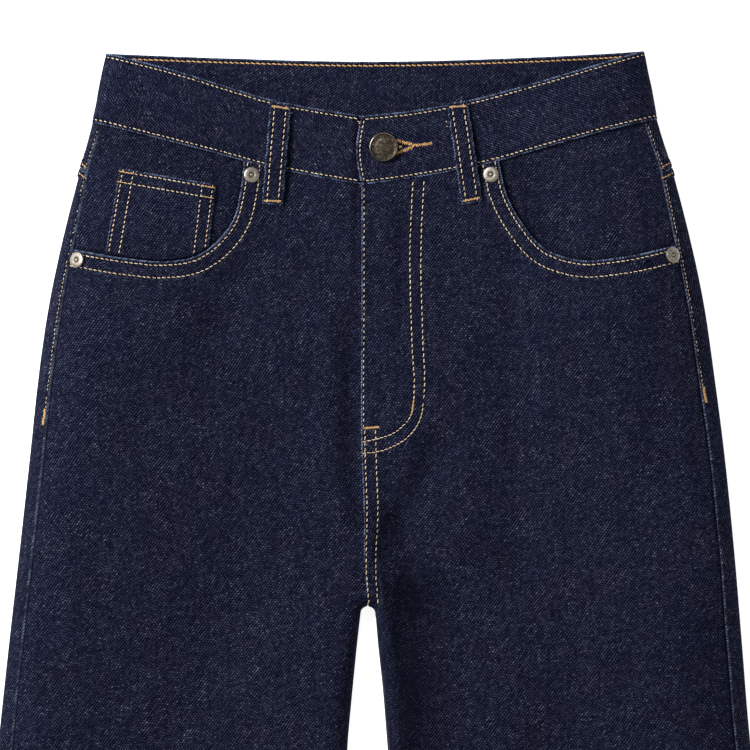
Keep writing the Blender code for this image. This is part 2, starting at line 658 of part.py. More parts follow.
def make_waistband(collection):
    """One strip, from the right end under the overlap, round by the right side, back and left side."""
    corner = np.linspace(0, 1, 6) ** 2 * 0.16
    right = np.concatenate([corner[1:], np.linspace(0.16, 0.70, 7)[1:], [0.755, 0.790, 0.90, 1.0]])[::-1]
    sunk = np.where(right > 0.77, -(BAND_CLOTH + LAY), 0.0)
    left = np.concatenate([corner[1:] * 1.15, np.linspace(0.184, 1.0, 9)[1:]])
    back = np.concatenate([corner * 0.6, np.linspace(0.096, 0.904, 11)[1:-1], 1 - corner[::-1] * 0.6])
    top_x, top_drop, low_x, low_drop = along(BAND_BACK, back)
    across = np.linspace(0, 1, 3)[:, None]
    xs = low_x + across * (top_x - low_x)
    drops = low_drop + across * (top_drop - low_drop)
    under = back_wall(xs, drops, wall=BAND_CLOTH)
    front_right = band_strip(BAND_RIGHT, right, sunk)
    front_left = band_strip(BAND_LEFT, left, 0.0)
    grids = [np.concatenate(parts, axis=1) for parts in zip(front_right, under, front_left)]
    return shell("waistband", *grids, collection)


def surface_at(x, drop, out):
    """A point on the front, moved out, with the direction that faces away from it there."""
    near = 0.0004  # how far off the two other points of the tangent plane are read
    xs = np.array([x, x + near, x])
    drops = np.array([drop, drop, drop + near])
    outer = front_wall(xs, drops)[0]
    facing = np.cross(outer[1] - outer[0], outer[0] - outer[2])
    facing /= np.linalg.norm(facing)
    return outer[0] + facing * out, facing


# ------------------------------------------------------------------------------------- loops and hardware

def make_front_loop(loop, collection):
    """A strip over the waistband, which stands off it in the middle and is sewn down at its ends."""
    down = np.linspace(0, 1, 10)
    x = loop.top_x + down * (loop.low_x - loop.top_x)
    drop = loop.top_drop + down * (loop.low_drop - loop.top_drop)
    run = np.array([loop.low_x - loop.top_x, loop.low_drop - loop.top_drop])
    run /= np.linalg.norm(run)
    half = LOOP_WIDTH / 2
    xs = x[:, None] + np.array([-1, 0, 1]) * half * run[1]
    drops = drop[:, None] - np.array([-1, 0, 1]) * half * run[0]
    base = BAND_PROUD + LAY + SEATED
    arch = base + LOOP_ARCH * np.sin(np.pi * down) + PATCH_CLOTH
    outer, inner = front_wall(xs, drops, out=arch[:, None], wall=PATCH_CLOTH)
    return shell(loop.name, outer, inner, collection)


def flat_plate(name, outline, thickness, collection):
    """A flat piece on the surface, from its plan outline."""
    shape = bmesh.new()
    corners = [shape.verts.new((x, y, 0)) for x, y in outline]
    face = shape.faces.new(corners)
    lifted = bmesh.ops.extrude_face_region(shape, geom=[face])["geom"]
    bmesh.ops.translate(
        shape, vec=(0, 0, thickness), verts=[part for part in lifted if isinstance(part, bmesh.types.BMVert)]
    )
    bmesh.ops.recalc_face_normals(shape, faces=shape.faces)
    mesh = bpy.data.meshes.new(name)
    shape.to_mesh(mesh)
    shape.free()
    return add_object(name, mesh, DENIM, collection)


def make_back_loop(loop, collection):
    half = LOOP_WIDTH / 2
    corners = [(loop.top_x - half, loop.top_drop), (loop.top_x + half, loop.top_drop)]
    corners += [(loop.low_x + half, loop.low_drop), (loop.low_x - half, loop.low_drop)]
    return flat_plate(loop.name, [(x, TOP_Y - drop) for x, drop in corners], PATCH_CLOTH, collection)


def make_back_pocket(side, collection):
    sign = -1 if side == "right" else 1
    centre = CENTRE_BACK + sign * POCKET_CENTRE
    top, corner, point = POCKET_DROPS
    outline = [(-POCKET_HALF_TOP, top), (POCKET_HALF_TOP, top), (POCKET_HALF_FOOT, corner)]
    outline += [(0, point), (-POCKET_HALF_FOOT, corner)]
    plan = [(centre + x, TOP_Y - drop) for x, drop in outline]
    return flat_plate("back_pocket_" + side, plan, PATCH_CLOTH, collection)


def turned(name, profile, at, facing, spec, collection, steps=28):
    """A round piece from its half profile (radius, height), standing on a point of the garment."""
    mesh = bpy.data.meshes.new(name)
    edges = [(i, i + 1) for i in range(len(profile) - 1)]
    mesh.from_pydata([(radius, 0, height) for radius, height in profile], edges, [])
    obj = add_object(name, mesh, spec, collection)
    screw = obj.modifiers.new("turn", "SCREW")
    screw.steps = steps
    screw.render_steps = steps
    screw.use_merge_vertices = True
    screw.merge_threshold = 0.00005
    obj.location = at
    obj.rotation_mode = "QUATERNION"
    obj.rotation_quaternion = Vector(facing).to_track_quat("Z", "Y")
    return obj


def make_rivet(rivet, collection):
    """A low round cap with a nub in the recess at its centre."""
    r, h = RIVET_RADIUS, RIVET_HEIGHT
    profile = [(0, 0.95 * h), (0.16 * r, 0.90 * h), (0.22 * r, 0.62 * h), (0.34 * r, 0.62 * h), (0.44 * r, h)]
    profile += [(0.70 * r, 0.92 * h), (0.92 * r, 0.60 * h), (r, 0.25 * h), (0.96 * r, 0), (0, 0)]
    at, facing = surface_at(rivet.x, rivet.drop, SEATED)
    return turned(rivet.name, profile, at, facing, NICKEL, collection, steps=14)


def make_button(collection):
    """A dished disc on a shank, which passes through the eye of the overlap to the end below it."""
    r, h = BUTTON_RADIUS, BUTTON_HEIGHT
    foot = BAND_CLOTH + SEATED
    profile = [(0, 0.80 * h), (0.72 * r, 0.74 * h), (0.80 * r, 0.94 * h), (0.90 * r, h), (0.98 * r, 0.86 * h)]
    profile += [(r, 0.60 * h), (0.94 * r, 0.20 * h), (0.70 * r, 0), (SHANK_RADIUS, 0)]
    profile += [(SHANK_RADIUS, -foot), (0, -foot)]
    at, facing = surface_at(*BUTTON_AT, BAND_PROUD + SEATED)
    return turned("button", profile, at, facing, BRASS, collection)


def cut_eye(band, cutters):
    """Cuts the buttonhole's eye through the overlap alone."""
    at, _ = surface_at(*BUTTON_AT, BAND_PROUD)
    shape = bmesh.new()
    depth = BAND_CLOTH + LAY / 2
    height = depth + 0.004
    bmesh.ops.create_cone(
        shape, cap_ends=True, segments=16, radius1=EYE_RADIUS, radius2=EYE_RADIUS, depth=height
    )
    mesh = bpy.data.meshes.new("eye_cutter")
    shape.to_mesh(mesh)
    shape.free()
    cutter = bpy.data.objects.new("eye_cutter", mesh)
    cutter.location = (at[0], at[1], at[2] - depth + height / 2)
    cutter.hide_render = True
    cutter.display_type = "WIRE"
    cutters.objects.link(cutter)
    boolean = band.modifiers.new("eye", "BOOLEAN")
    boolean.operation = "DIFFERENCE"
    boolean.solver = "EXACT"
    boolean.object = cutter


def main():
    clear_scene()
    jeans = new_collection("barrel_jeans")
    cutters = new_collection("cutters")
    for side in ("right", "left"):
        make_front(side, jeans)
        make_back_piece("yoke_" + side, side, yoke_rails(side), jeans)
        make_back_piece("back_" + side, side, back_rails(), jeans)
        make_facing(side, jeans)
        make_back_pocket(side, jeans)
    band = make_waistband(jeans)
    cut_eye(band, cutters)
    make_coin_pocket(jeans)
    for loop in FRONT_LOOPS:
        make_front_loop(loop, jeans)
    for loop in BACK_LOOPS:
        make_back_loop(loop, jeans)
    for rivet in RIVETS:
        make_rivet(rivet, jeans)
    make_button(jeans)


main()
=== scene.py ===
"""Looks of the barrel jeans, laid flat on their back: every panel as a fine wall of denim on its solid's
form, with its creases, hems and felled seams, the topstitching thread by thread, the bartacks, the
buttonhole, and the metal button and rivets.

Metres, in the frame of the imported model: +X is the wearer's left, +Y runs from the hems to the waist, and +Z
is up. "Drop" is the distance down the garment from the higher corner of the waist. "Right" and "left" are the
wearer's, so the right leg is at -X. "Out" is away from the garment's inside, along the cloth's own normal.
"""

from collections import namedtuple
import math

import bpy
import numpy as np
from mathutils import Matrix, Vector


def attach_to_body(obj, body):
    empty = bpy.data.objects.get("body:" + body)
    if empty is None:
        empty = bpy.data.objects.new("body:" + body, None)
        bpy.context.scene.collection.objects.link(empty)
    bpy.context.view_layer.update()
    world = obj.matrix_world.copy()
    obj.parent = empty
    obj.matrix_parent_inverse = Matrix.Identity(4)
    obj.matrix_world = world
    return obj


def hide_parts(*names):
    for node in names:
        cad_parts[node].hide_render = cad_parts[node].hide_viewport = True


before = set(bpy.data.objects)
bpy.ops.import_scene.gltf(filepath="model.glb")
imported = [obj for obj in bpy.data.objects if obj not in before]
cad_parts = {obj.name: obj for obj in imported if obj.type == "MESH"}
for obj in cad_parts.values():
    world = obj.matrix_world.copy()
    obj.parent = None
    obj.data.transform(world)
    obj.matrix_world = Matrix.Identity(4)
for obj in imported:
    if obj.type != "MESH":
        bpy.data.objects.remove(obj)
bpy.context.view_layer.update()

BOTH = ("right", "left")
INWARD = {"right": 1, "left": -1}  # the way along x from a side's outline to the middle

# ------------------------------------------------------------------------------- sizes shared with the solids
LENGTH = 1.050  # waist corner to hem
CLOTH = 0.0013  # one layer of denim
BAND_CLOTH = 0.0023  # the waistband's two layers
PATCH_CLOTH = 0.0012  # pockets and belt loops that lie on a panel
SEAM = 0.0003  # between pieces that meet edge to edge
LAY = 0.0006  # between layers that lie on each other
BAND_PROUD = 0.0010  # how far the waistband stands out of the panels below it
BACK_LIFT = 0.0016  # how far the back pockets and loops hold the seat off the surface
LIFT_ENDS = (0.300, 0.350)  # drops between which the back comes down to the surface
FOLD_SHARE = 0.40  # where the widest point of a folded side lies, as a share of the side's height
CROTCH = 0.3510  # drop of the top of the gap between the legs
GAP_RADIUS = 0.0047  # the round top of that gap
CENTRE_BACK = -0.0044  # x of the centre back seam and of the crotch
CLOSE = 0.00015  # half of the seam between a front and a back at the inseam
FLY_END = 0.262  # drop of the foot of the fly
FLY_LAP = 0.014  # how far the right front reaches under the left one along the fly
LAP_ENDS = 0.028  # the length below the fly over which that lap runs out
LAP_FROM = 0.008  # how far off the fly's edge the right front begins to sink
LAP_RUN = 0.006  # and the run over which it does
FAN_END = 0.205  # drop where the last row from a scooped edge meets the fly
LEVEL_FROM = 0.335  # drop from which a front's rows run level
FACING_UNDER = 0.012  # how far a facing reaches under the front past the scooped edge
SEATED = 0.0004  # under a rivet, the button's rim or a front loop's ends

Outline = namedtuple("Outline", "drop right left")
OUTLINE = [
    Outline(0.000, -0.1700, 0.1701),
    Outline(0.016, -0.1732, 0.1726),
    Outline(0.044, -0.1784, 0.1783),
    Outline(0.071, -0.1851, 0.1865),
    Outline(0.101, -0.1928, 0.1946),
    Outline(0.158, -0.2054, 0.2073),
    Outline(0.205, -0.2123, 0.2142),
    Outline(0.252, -0.2174, 0.2203),
    Outline(0.309, -0.2237, 0.2262),
    Outline(0.375, -0.2312, 0.2318),
    Outline(0.422, -0.2363, 0.2356),
    Outline(0.500, -0.2445, 0.2440),
    Outline(0.570, -0.2515, 0.2512),
    Outline(0.640, -0.2557, 0.2555),
    Outline(0.690, -0.2560, 0.2560),
    Outline(0.760, -0.2515, 0.2520),
    Outline(0.840, -0.2400, 0.2408),
    Outline(0.940, -0.2200, 0.2208),
    Outline(1.050, -0.1985, 0.1990),
]

# The folded sides: how far in from the outline each one rounds over (reach), its full height there, the
# height of the front in the middle, and the run over which it sinks from the one to the other.
Side = namedtuple("Side", "drop right_reach right_height left_reach left_height middle run")
SIDES = [
    Side(0.000, 0.014, 0.0160, 0.026, 0.0220, 0.0130, 0.100),
    Side(0.045, 0.018, 0.0200, 0.029, 0.0260, 0.0135, 0.105),
    Side(0.100, 0.030, 0.0280, 0.034, 0.0300, 0.0155, 0.115),
    Side(0.160, 0.036, 0.0325, 0.037, 0.0330, 0.0175, 0.125),
    Side(0.250, 0.036, 0.0330, 0.036, 0.0330, 0.0180, 0.125),
    Side(0.350, 0.034, 0.0315, 0.034, 0.0315, 0.0170, 0.110),
    Side(0.500, 0.030, 0.0300, 0.030, 0.0300, 0.0180, 0.085),
    Side(0.690, 0.029, 0.0300, 0.029, 0.0300, 0.0185, 0.080),
    Side(0.900, 0.022, 0.0230, 0.022, 0.0230, 0.0150, 0.070),
    Side(1.050, 0.015, 0.0170, 0.015, 0.0170, 0.0120, 0.060),
]

# The inner edges of the legs, below the gap's round top, with the same kind of rounding.
Inner = namedtuple("Inner", "drop right left reach height")
INNER = [
    Inner(0.3557, -0.0091, 0.0003, 0.009, 0.0170),
    Inner(0.3750, -0.0113, 0.0019, 0.012, 0.0195),
    Inner(0.4000, -0.0138, 0.0046, 0.015, 0.0215),
    Inner(0.4400, -0.0175, 0.0079, 0.018, 0.0235),
    Inner(0.5000, -0.0210, 0.0135, 0.020, 0.0250),
    Inner(0.6000, -0.0242, 0.0205, 0.022, 0.0260),
    Inner(0.7000, -0.0235, 0.0215, 0.022, 0.0260),
    Inner(0.8400, -0.0195, 0.0185, 0.019, 0.0225),
    Inner(1.0500, -0.0150, 0.0150, 0.012, 0.0155),
]

# How far in from the outline the outseams lie, on the front.
Outseam = namedtuple("Outseam", "drop right left")
OUTSEAMS = [
    Outseam(0.045, 0.0068, 0.0085),
    Outseam(0.075, 0.0052, 0.0079),
    Outseam(0.105, 0.0073, 0.0095),
    Outseam(0.150, 0.0083, 0.0105),
    Outseam(0.250, 0.0090, 0.0100),
    Outseam(0.440, 0.0094, 0.0100),
    Outseam(1.050, 0.0095, 0.0095),
]

# The folded edge of the left front: the fly, then the seam down to the crotch.
Front = namedtuple("Front", "drop x")
FRONT_EDGE = [
    Front(0.060, -0.0086),
    Front(0.160, -0.0086),
    Front(0.257, -0.0085),
    Front(0.292, -0.0072),
    Front(0.320, -0.0070),
    Front(0.351, -0.0044),
]

# The waistband's two edges, on the front from the outline to the fly and on the back side to side.
Band = namedtuple("Band", "top_x top_drop low_x low_drop")
BAND_RIGHT = [
    Band(-0.1701, 0.0013, -0.1783, 0.0454),
    Band(-0.1241, 0.0132, -0.1310, 0.0573),
    Band(-0.0914, 0.0233, -0.0964, 0.0661),
    Band(-0.0655, 0.0309, -0.0693, 0.0734),
    Band(-0.0400, 0.0360, -0.0420, 0.0789),
    Band(-0.0085, 0.0410, -0.0085, 0.0846),
    Band(0.0360, 0.0470, 0.0360, 0.0910),
]
BAND_LEFT = [
    Band(0.1701, 0.0000, 0.1783, 0.0432),
    Band(0.1330, 0.0112, 0.1421, 0.0520),
    Band(0.0977, 0.0214, 0.1071, 0.0617),
    Band(0.0586, 0.0315, 0.0674, 0.0724),
    Band(0.0240, 0.0378, 0.0284, 0.0798),
    Band(-0.0085, 0.0413, -0.0085, 0.0850),
]
BAND_BACK = [
    Band(-0.1701, 0.0013, -0.1783, 0.0454),
    Band(-0.1000, 0.0040, -0.1040, 0.0462),
    Band(CENTRE_BACK, 0.0063, CENTRE_BACK, 0.0468),
    Band(0.1000, 0.0036, 0.1040, 0.0456),
    Band(0.1701, 0.0000, 0.1783, 0.0432),
]
FRONT_BANDS = {"right": BAND_RIGHT, "left": BAND_LEFT}
UNDERLAP = (0.755, 0.787)  # shares of BAND_RIGHT between which its end sinks under the overlap

# The scooped edges of the hip pockets, from the waistband on; each ends on its outseam at the last drop.
Scoop = namedtuple("Scoop", "x drop")
SCOOPS = {
    "right": [
        Scoop(-0.0828, 0.0700),
        Scoop(-0.0850, 0.0895),
        Scoop(-0.0896, 0.1071),
        Scoop(-0.1002, 0.1212),
        Scoop(-0.1137, 0.1302),
        Scoop(-0.1310, 0.1332),
        Scoop(-0.1560, 0.1314),
    ],
    "left": [
        Scoop(0.0780, 0.0690),
        Scoop(0.0835, 0.0920),
        Scoop(0.0932, 0.1096),
        Scoop(0.1065, 0.1247),
        Scoop(0.1273, 0.1323),
        Scoop(0.1544, 0.1308),
    ],
}
SCOOP_END = {"right": 0.1256, "left": 0.1232}

# The largest soft troughs (negative height) and ridges, which the solids have too.
Fold = namedtuple("Fold", "x1 drop1 x2 drop2 width height")
FOLDS = [
    Fold(0.041, 0.246, 0.012, 0.305, 0.010, -0.0026),
    Fold(0.014, 0.310, 0.026, 0.440, 0.013, -0.0040),
    Fold(-0.018, 0.165, -0.018, 0.275, 0.007, -0.0020),
    Fold(-0.031, 0.170, -0.031, 0.270, 0.008, 0.0015),
    Fold(-0.086, 0.145, -0.114, 0.215, 0.014, -0.0026),
    Fold(0.082, 0.140, 0.088, 0.320, 0.020, -0.0032),
    Fold(-0.140, 0.300, -0.070, 0.350, 0.012, -0.0020),
    Fold(-0.190, 0.590, -0.090, 0.615, 0.013, -0.0034),
    Fold(-0.060, 0.665, -0.170, 0.690, 0.012, -0.0030),
    Fold(-0.180, 0.760, -0.100, 0.735, 0.012, -0.0024),
    Fold(0.185, 0.570, 0.100, 0.600, 0.013, -0.0032),
    Fold(0.070, 0.650, 0.175, 0.668, 0.012, -0.0030),
    Fold(0.100, 0.780, 0.165, 0.752, 0.012, -0.0026),
    Fold(-0.070, 0.900, -0.150, 0.925, 0.010, -0.0020),
    Fold(0.080, 0.935, 0.150, 0.905, 0.010, -0.0020),
]

YOKE_AT_CENTRE = 0.112  # drop of the yoke seam at the centre back
YOKE_AT_SIDE = 0.0735  # and at the side fold
YOKE_AT_OUTSEAM = 0.0775

Loop = namedtuple("Loop", "name top_x top_drop low_x low_drop")
FRONT_LOOPS = [
    Loop("loop_front_right", -0.0595, 0.0330, -0.0647, 0.0975),
    Loop("loop_front_left", 0.0518, 0.0325, 0.0612, 0.0965),
]
BACK_LOOPS = [
    Loop("loop_back_right", -0.1100, 0.0056, -0.1140, 0.0660),
    Loop("loop_centre_back", CENTRE_BACK, 0.0080, CENTRE_BACK, 0.0680),
    Loop("loop_back_left", 0.1100, 0.0052, 0.1140, 0.0660),
]
LOOP_WIDTH = 0.0132

POCKET_CENTRE = 0.0985
POCKET_HALF_TOP = 0.0650
POCKET_HALF_FOOT = 0.0570
POCKET_DROPS = (0.1270, 0.2600, 0.2820)

COIN_TOP = (Scoop(-0.1606, 0.0745), Scoop(-0.1000, 0.0848))
COIN_LOW = (Scoop(-0.1697, 0.1290), Scoop(-0.1046, 0.1238))
COIN_CLEAR = 0.0012
COIN_SIZE = (0.0615, 0.0520)  # about its width and depth, for spacing its rows

BUTTON_AT = (0.0055, 0.0611)
BUTTON_RADIUS = 0.0090
BUTTON_HEIGHT = 0.0036
SHANK_RADIUS = 0.0026

Rivet = namedtuple("Rivet", "name x drop lean")
RIVETS = [
    Rivet("rivet_right_inner", -0.0779, 0.0786, 0.0),
    Rivet("rivet_right_outer", -0.1868, 0.1326, -0.22),
    Rivet("rivet_left_inner", 0.0733, 0.0784, 0.0),
    Rivet("rivet_left_outer", 0.1866, 0.1295, 0.22),
]
RIVET_RADIUS = 0.0050
RIVET_HEIGHT = 0.0022

TOP_Y = LENGTH / 2  # y of drop 0

# --------------------------------------------------------------------------------------- sizes of the looks
# Smaller creases than those of the solids, again along straight lines in plan.
CREASES = [
    Fold(0.0150, 0.090, 0.0165, 0.165, 0.0035, -0.0013),
    Fold(0.0075, 0.095, 0.0080, 0.190, 0.0045, 0.0007),
    Fold(-0.0160, 0.195, -0.0125, 0.300, 0.0045, -0.0016),
    Fold(-0.0260, 0.180, -0.0235, 0.290, 0.0060, 0.0009),
    Fold(0.0120, 0.262, 0.0040, 0.330, 0.0060, -0.0016),
    Fold(-0.1250, 0.165, -0.1180, 0.300, 0.0110, 0.0008),
    Fold(0.1320, 0.150, 0.1260, 0.330, 0.0160, -0.0012),
    Fold(0.0560, 0.150, 0.0600, 0.300, 0.0100, 0.0008),
    Fold(-0.0580, 0.130, -0.0560, 0.250, 0.0090, 0.0006),
    Fold(-0.1750, 0.230, -0.1620, 0.360, 0.0120, -0.0010),
    Fold(0.1800, 0.200, 0.1650, 0.310, 0.0130, -0.0013),
    Fold(-0.0900, 0.360, -0.0950, 0.520, 0.0130, -0.0009),
    Fold(0.0900, 0.370, 0.0880, 0.500, 0.0110, 0.0008),
    Fold(0.1250, 0.350, 0.1300, 0.470, 0.0090, -0.0008),
    Fold(-0.1550, 0.420, -0.1600, 0.540, 0.0120, 0.0009),
    Fold(-0.1900, 0.500, -0.1200, 0.530, 0.0090, -0.0012),
    Fold(0.2000, 0.500, 0.1250, 0.520, 0.0090, -0.0012),
    Fold(-0.1000, 0.640, -0.0450, 0.655, 0.0080, -0.0012),
    Fold(0.0500, 0.610, 0.1100, 0.628, 0.0080, -0.0012),
    Fold(-0.2050, 0.715, -0.1350, 0.725, 0.0080, 0.0010),
    Fold(0.2050, 0.700, 0.1400, 0.716, 0.0080, 0.0010),
    Fold(-0.0500, 0.800, -0.1150, 0.835, 0.0090, -0.0012),
    Fold(0.0550, 0.820, 0.1250, 0.850, 0.0090, -0.0012),
    Fold(-0.1650, 0.860, -0.0900, 0.880, 0.0080, -0.0010),
    Fold(0.1700, 0.870, 0.0950, 0.885, 0.0080, -0.0010),
    Fold(-0.0500, 0.965, -0.1200, 0.985, 0.0070, -0.0011),
    Fold(0.0600, 0.980, 0.1300, 0.965, 0.0070, -0.0011),
    Fold(0.0410, 0.246, 0.0110, 0.300, 0.0080, -0.0016),
    Fold(0.0150, 0.318, 0.0225, 0.470, 0.0085, -0.0030),
    Fold(0.0340, 0.345, 0.0420, 0.500, 0.0220, -0.0050),
    Fold(-0.0350, 0.470, -0.0420, 0.560, 0.0180, -0.0020),
    Fold(0.0845, 0.130, 0.0900, 0.330, 0.0090, -0.0012),
]
# Painted shade on the cloth: deep in folds, on slopes turned away from the light, and as painted shadow beside
# raised edges such as the belt loops; each height is a share of the light lost.
PAINTED_SHADES = [
    Fold(0.0410, 0.250, 0.0110, 0.298, 0.0070, 0.20),
    Fold(0.0120, 0.298, 0.0200, 0.345, 0.0070, 0.38),
    Fold(0.0205, 0.345, 0.0270, 0.500, 0.0120, 0.50),
    Fold(0.0350, 0.340, 0.0420, 0.520, 0.0170, 0.30),
    Fold(-0.0178, 0.165, -0.0172, 0.285, 0.0038, 0.26),
    Fold(0.0165, 0.095, 0.0155, 0.160, 0.0035, 0.28),
    Fold(-0.0513, 0.0360, -0.0566, 0.0985, 0.0019, 0.55),
    Fold(0.0600, 0.0355, 0.0694, 0.0975, 0.0019, 0.50),
    Fold(-0.1722, 0.1120, -0.1745, 0.1270, 0.0042, 0.35),
    Fold(-0.1000, 0.0960, -0.1045, 0.1200, 0.0032, 0.35),
    Fold(0.0830, 0.130, 0.0880, 0.320, 0.0120, 0.08),
    Fold(-0.0880, 0.136, -0.1160, 0.214, 0.0110, 0.08),
    Fold(0.1680, 0.150, 0.1760, 0.195, 0.0260, 0.10),
    Fold(0.2050, 0.385, 0.2150, 0.440, 0.0350, 0.16),
    Fold(0.0870, 0.072, 0.1030, 0.114, 0.0095, 0.30),
    Fold(-0.1750, 0.055, -0.1000, 0.070, 0.0280, 0.12),
]
# Soft waves of the cloth all over: their length, the direction they run across, and their height.
Wave = namedtuple("Wave", "length turn height phase")
WAVES = [
    Wave(0.083, 0.15, 0.00022, 0.3),
    Wave(0.057, -0.35, 0.00018, 1.9),
    Wave(0.041, 0.55, 0.00013, 4.4),
    Wave(0.031, -0.10, 0.00010, 2.6),
    Wave(0.023, 0.80, 0.00006, 5.3),
    Wave(0.017, -0.60, 0.00004, 0.9),
]

# A seam: its line in plan, the distances of its stitch rows, how wide and how high the turned cloth along it
# is, and how worn its edge is.
Seam = namedtuple("Seam", "line rows hem rise worn", defaults=((), 0.0, 0.0, 0.0))
ROLL = 0.0007  # radius of a folded edge
STEP = 0.0011  # run over which the turned cloth ends
GROOVE = 0.00062  # half width of the groove that a row of stitches pulls into the cloth
GROOVE_DEPTH = 0.00022
# painted shade in a stitch row's groove, as a share of the light lost
GROOVE_SHADE = 0.72
WORN_WIDTH = 0.00080
PUCKER = 0.00010  # height of the puckers along a sewn hem
PUCKER_LENGTHS = (0.0047, 0.0071, 0.0113)
PUCKER_REACH = 0.004  # how far past the turned cloth the puckers run out
HEM_WEAR = 0.12  # wear over the turned cloth's end, as a share of the seam's
DARKEST = 0.75  # the most light that a dark place loses
CREVICE = 0.55  # how much painted shade a pocket's mouth gets right beside the scooped edge
CREVICE_WIDTH = 0.0022

SCOOP_STITCH = (0.0026, 0.0104)  # the two rows along a scooped edge
SCOOP_HEM = 0.0120
FLY_STITCH = 0.0017
RISE_STITCH = (0.0015, 0.0079)
RISE_OFFSETS = ((0.0024, 0.0008), (0.0092, 0.0064))  # the front's two rows in from its edge, at top and foot
OUTSEAM_STITCH = 0.0013
OUTSEAM_TACK = {"right": (0.2262, 0.2363), "left": (0.2123, 0.2224)}  # drops of the bartacks that end them
OUTSEAM_TACK_IN = 0.0016  # their distance from the seam
OUTSEAM_TACK_WIDTH = 0.0019
BAND_STITCH = (0.0023, 0.0024)  # in from the low edge and from the top edge
YOKE_STITCH = 0.0036  # each side of the yoke seam
HEM_STITCH = 0.0110
HEM_TURN = 0.0122
HEM_CALM = 0.6  # share of the creases and waves that a hem presses flat
HEM_CALM_FROM = 0.03  # how far above the hem's edge that begins
HEM_CALM_RUN = 0.02
COIN_STITCH = (0.0022, 0.0088)
COIN_THREADS = (0.00040, 0.00026)  # half widths of the threads that end its two rows
COIN_TACKED = (0.0092, 0.0066)  # and their runs
COIN_ENDS = 0.0016  # how far above the scooped edge the rows down its sides end
LOOP_STITCH = 0.0036  # each side of a loop's middle

# The fly's curved double row, on the left front.
FLY_INNER = [
    Scoop(0.0239, 0.0822),
    Scoop(0.0221, 0.1235),
    Scoop(0.0233, 0.1840),
    Scoop(0.0246, 0.2170),
    Scoop(0.0233, 0.2287),
    Scoop(0.0176, 0.2369),
    Scoop(0.0107, 0.2419),
    Scoop(0.0009, 0.2451),
    Scoop(-0.0078, 0.2468),
]
FLY_OUTER = [
    Scoop(0.0309, 0.0819),
    Scoop(0.0290, 0.1235),
    Scoop(0.0302, 0.1840),
    Scoop(0.0309, 0.2170),
    Scoop(0.0277, 0.2344),
    Scoop(0.0202, 0.2444),
    Scoop(0.0107, 0.2501),
    Scoop(0.0009, 0.2533),
    Scoop(-0.0078, 0.2539),
]
FLY_BACKTACK = ((0.0244, 0.2205), (0.0231, 0.2290))  # a stretch sewn twice, in the amber thread
FLY_BAR = ((-0.0070, 0.2384), (0.0026, 0.2376))
# The ends of the curved rows, in the amber thread.
FLY_ENDS = (((-0.0083, 0.2472), (-0.0052, 0.2465)), ((-0.0083, 0.2543), (-0.0050, 0.2540)))
FLY_CURVE = 0.222  # drop from which the curved rows' stitches lie closer
RISE_FROM = 0.2390  # drop where the fly's edge row ends and the rise's rows begin

STITCH_PITCH = 0.0031
STITCH_LENGTH = 0.0024
THREAD = 0.00034  # half width of a stitch as it lies
# Kinds of stitches, where they differ from those.
UNDER = dict(up=-1, raised=0.0)  # on the underside
LONG = dict(pitch=0.0037, length=0.0028, width=0.00034)  # fly, rise and loops
SCOOPED = dict(length=0.0027, width=0.00033)
FLY_SEWN = dict(pitch=0.0037, length=0.0021, width=0.00029)
FLY_CURVED = dict(pitch=0.0027, length=0.0029, width=0.00030)
BACKTACKED = dict(length=0.0026, width=0.00052, slant=0.1, raised=1.2)
THIN = dict(pitch=0.0027, length=0.0019, width=0.00022)  # along the outseams
YOKE_SEWN = dict(thread="bartack", pitch=0.0022, length=0.0028, width=0.00034, raised=1.1)
INSIDE_SEWN = dict(thread="bartack", pitch=0.0034, length=0.0032, width=0.00048, slant=0.22, raised=0.8)
COIN_SEWN = dict(thread="bartack", pitch=0.0021, length=0.0027, raised=1.5)
OUTSEAM_RAISED = {"right": 0.7, "left": 0.38}


# ---------------------------------------------------------------------------------------------- curves

def spline(knots, values, at):
    """Values at the given places on a smooth curve through a table's column."""
    knots = np.asarray(knots, float)
    values = np.asarray(values, float)
    slopes = np.gradient(values, knots)
    at = np.clip(np.asarray(at, float), knots[0], knots[-1])
    row = np.clip(np.searchsorted(knots, at) - 1, 0, len(knots) - 2)
    step = knots[row + 1] - knots[row]
    t = (at - knots[row]) / step
    ends = values[row] * (1 + 2 * t) * (1 - t) ** 2 + values[row + 1] * t ** 2 * (3 - 2 * t)
    bends = slopes[row] * step * t * (1 - t) ** 2 + slopes[row + 1] * step * t ** 2 * (t - 1)
    return ends + bends


def column(table, name, drop):
    """One column of a table whose rows go by drop, read at the given drops."""
    return spline([row.drop for row in table], [getattr(row, name) for row in table], drop)


def along(table, share):
    """Points on a smooth curve through a table's rows, at shares of its length: one array for each column."""
    rows = np.array(table, float)
    length = lengths(rows[:, :2])
    return [spline(length, rows[:, i], np.asarray(share) * length[-1]) for i in range(rows.shape[1])]


def ease(t):
    """0 to 1, smooth at both ends."""
    t = np.clip(t, 0, 1)
    return (1 - np.cos(np.pi * t)) / 2


def bell(distance, width):
    return np.exp(-(distance / width) ** 2)


def together(*parts):
    """Arrays and numbers side by side along a new last axis, spread to one shape."""
    return np.stack(np.broadcast_arrays(*parts), axis=-1)


def lengths(line):
    """How far along a line each of its points lies."""
    return np.concatenate([[0.0], np.cumsum(np.linalg.norm(np.diff(line, axis=0), axis=1))])


def rolled(distance):
    """How far a folded edge sinks at a distance in from it."""
    edge = np.clip(1 - distance / ROLL, 0, 1)
    return ROLL * (1 - np.sqrt(1 - edge ** 2))


def runs(*stretches):
    """Levels from stretches of (start, end, spacing), each starting where the one before it ends."""
    parts = []
    for start, end, spacing in stretches:
        count = max(int(math.ceil(abs(end - start) / spacing - 1e-6)), 1)
        parts.append(np.linspace(start, end, count + 1)[:-1])
    return np.concatenate(parts + [[stretches[-1][1]]])


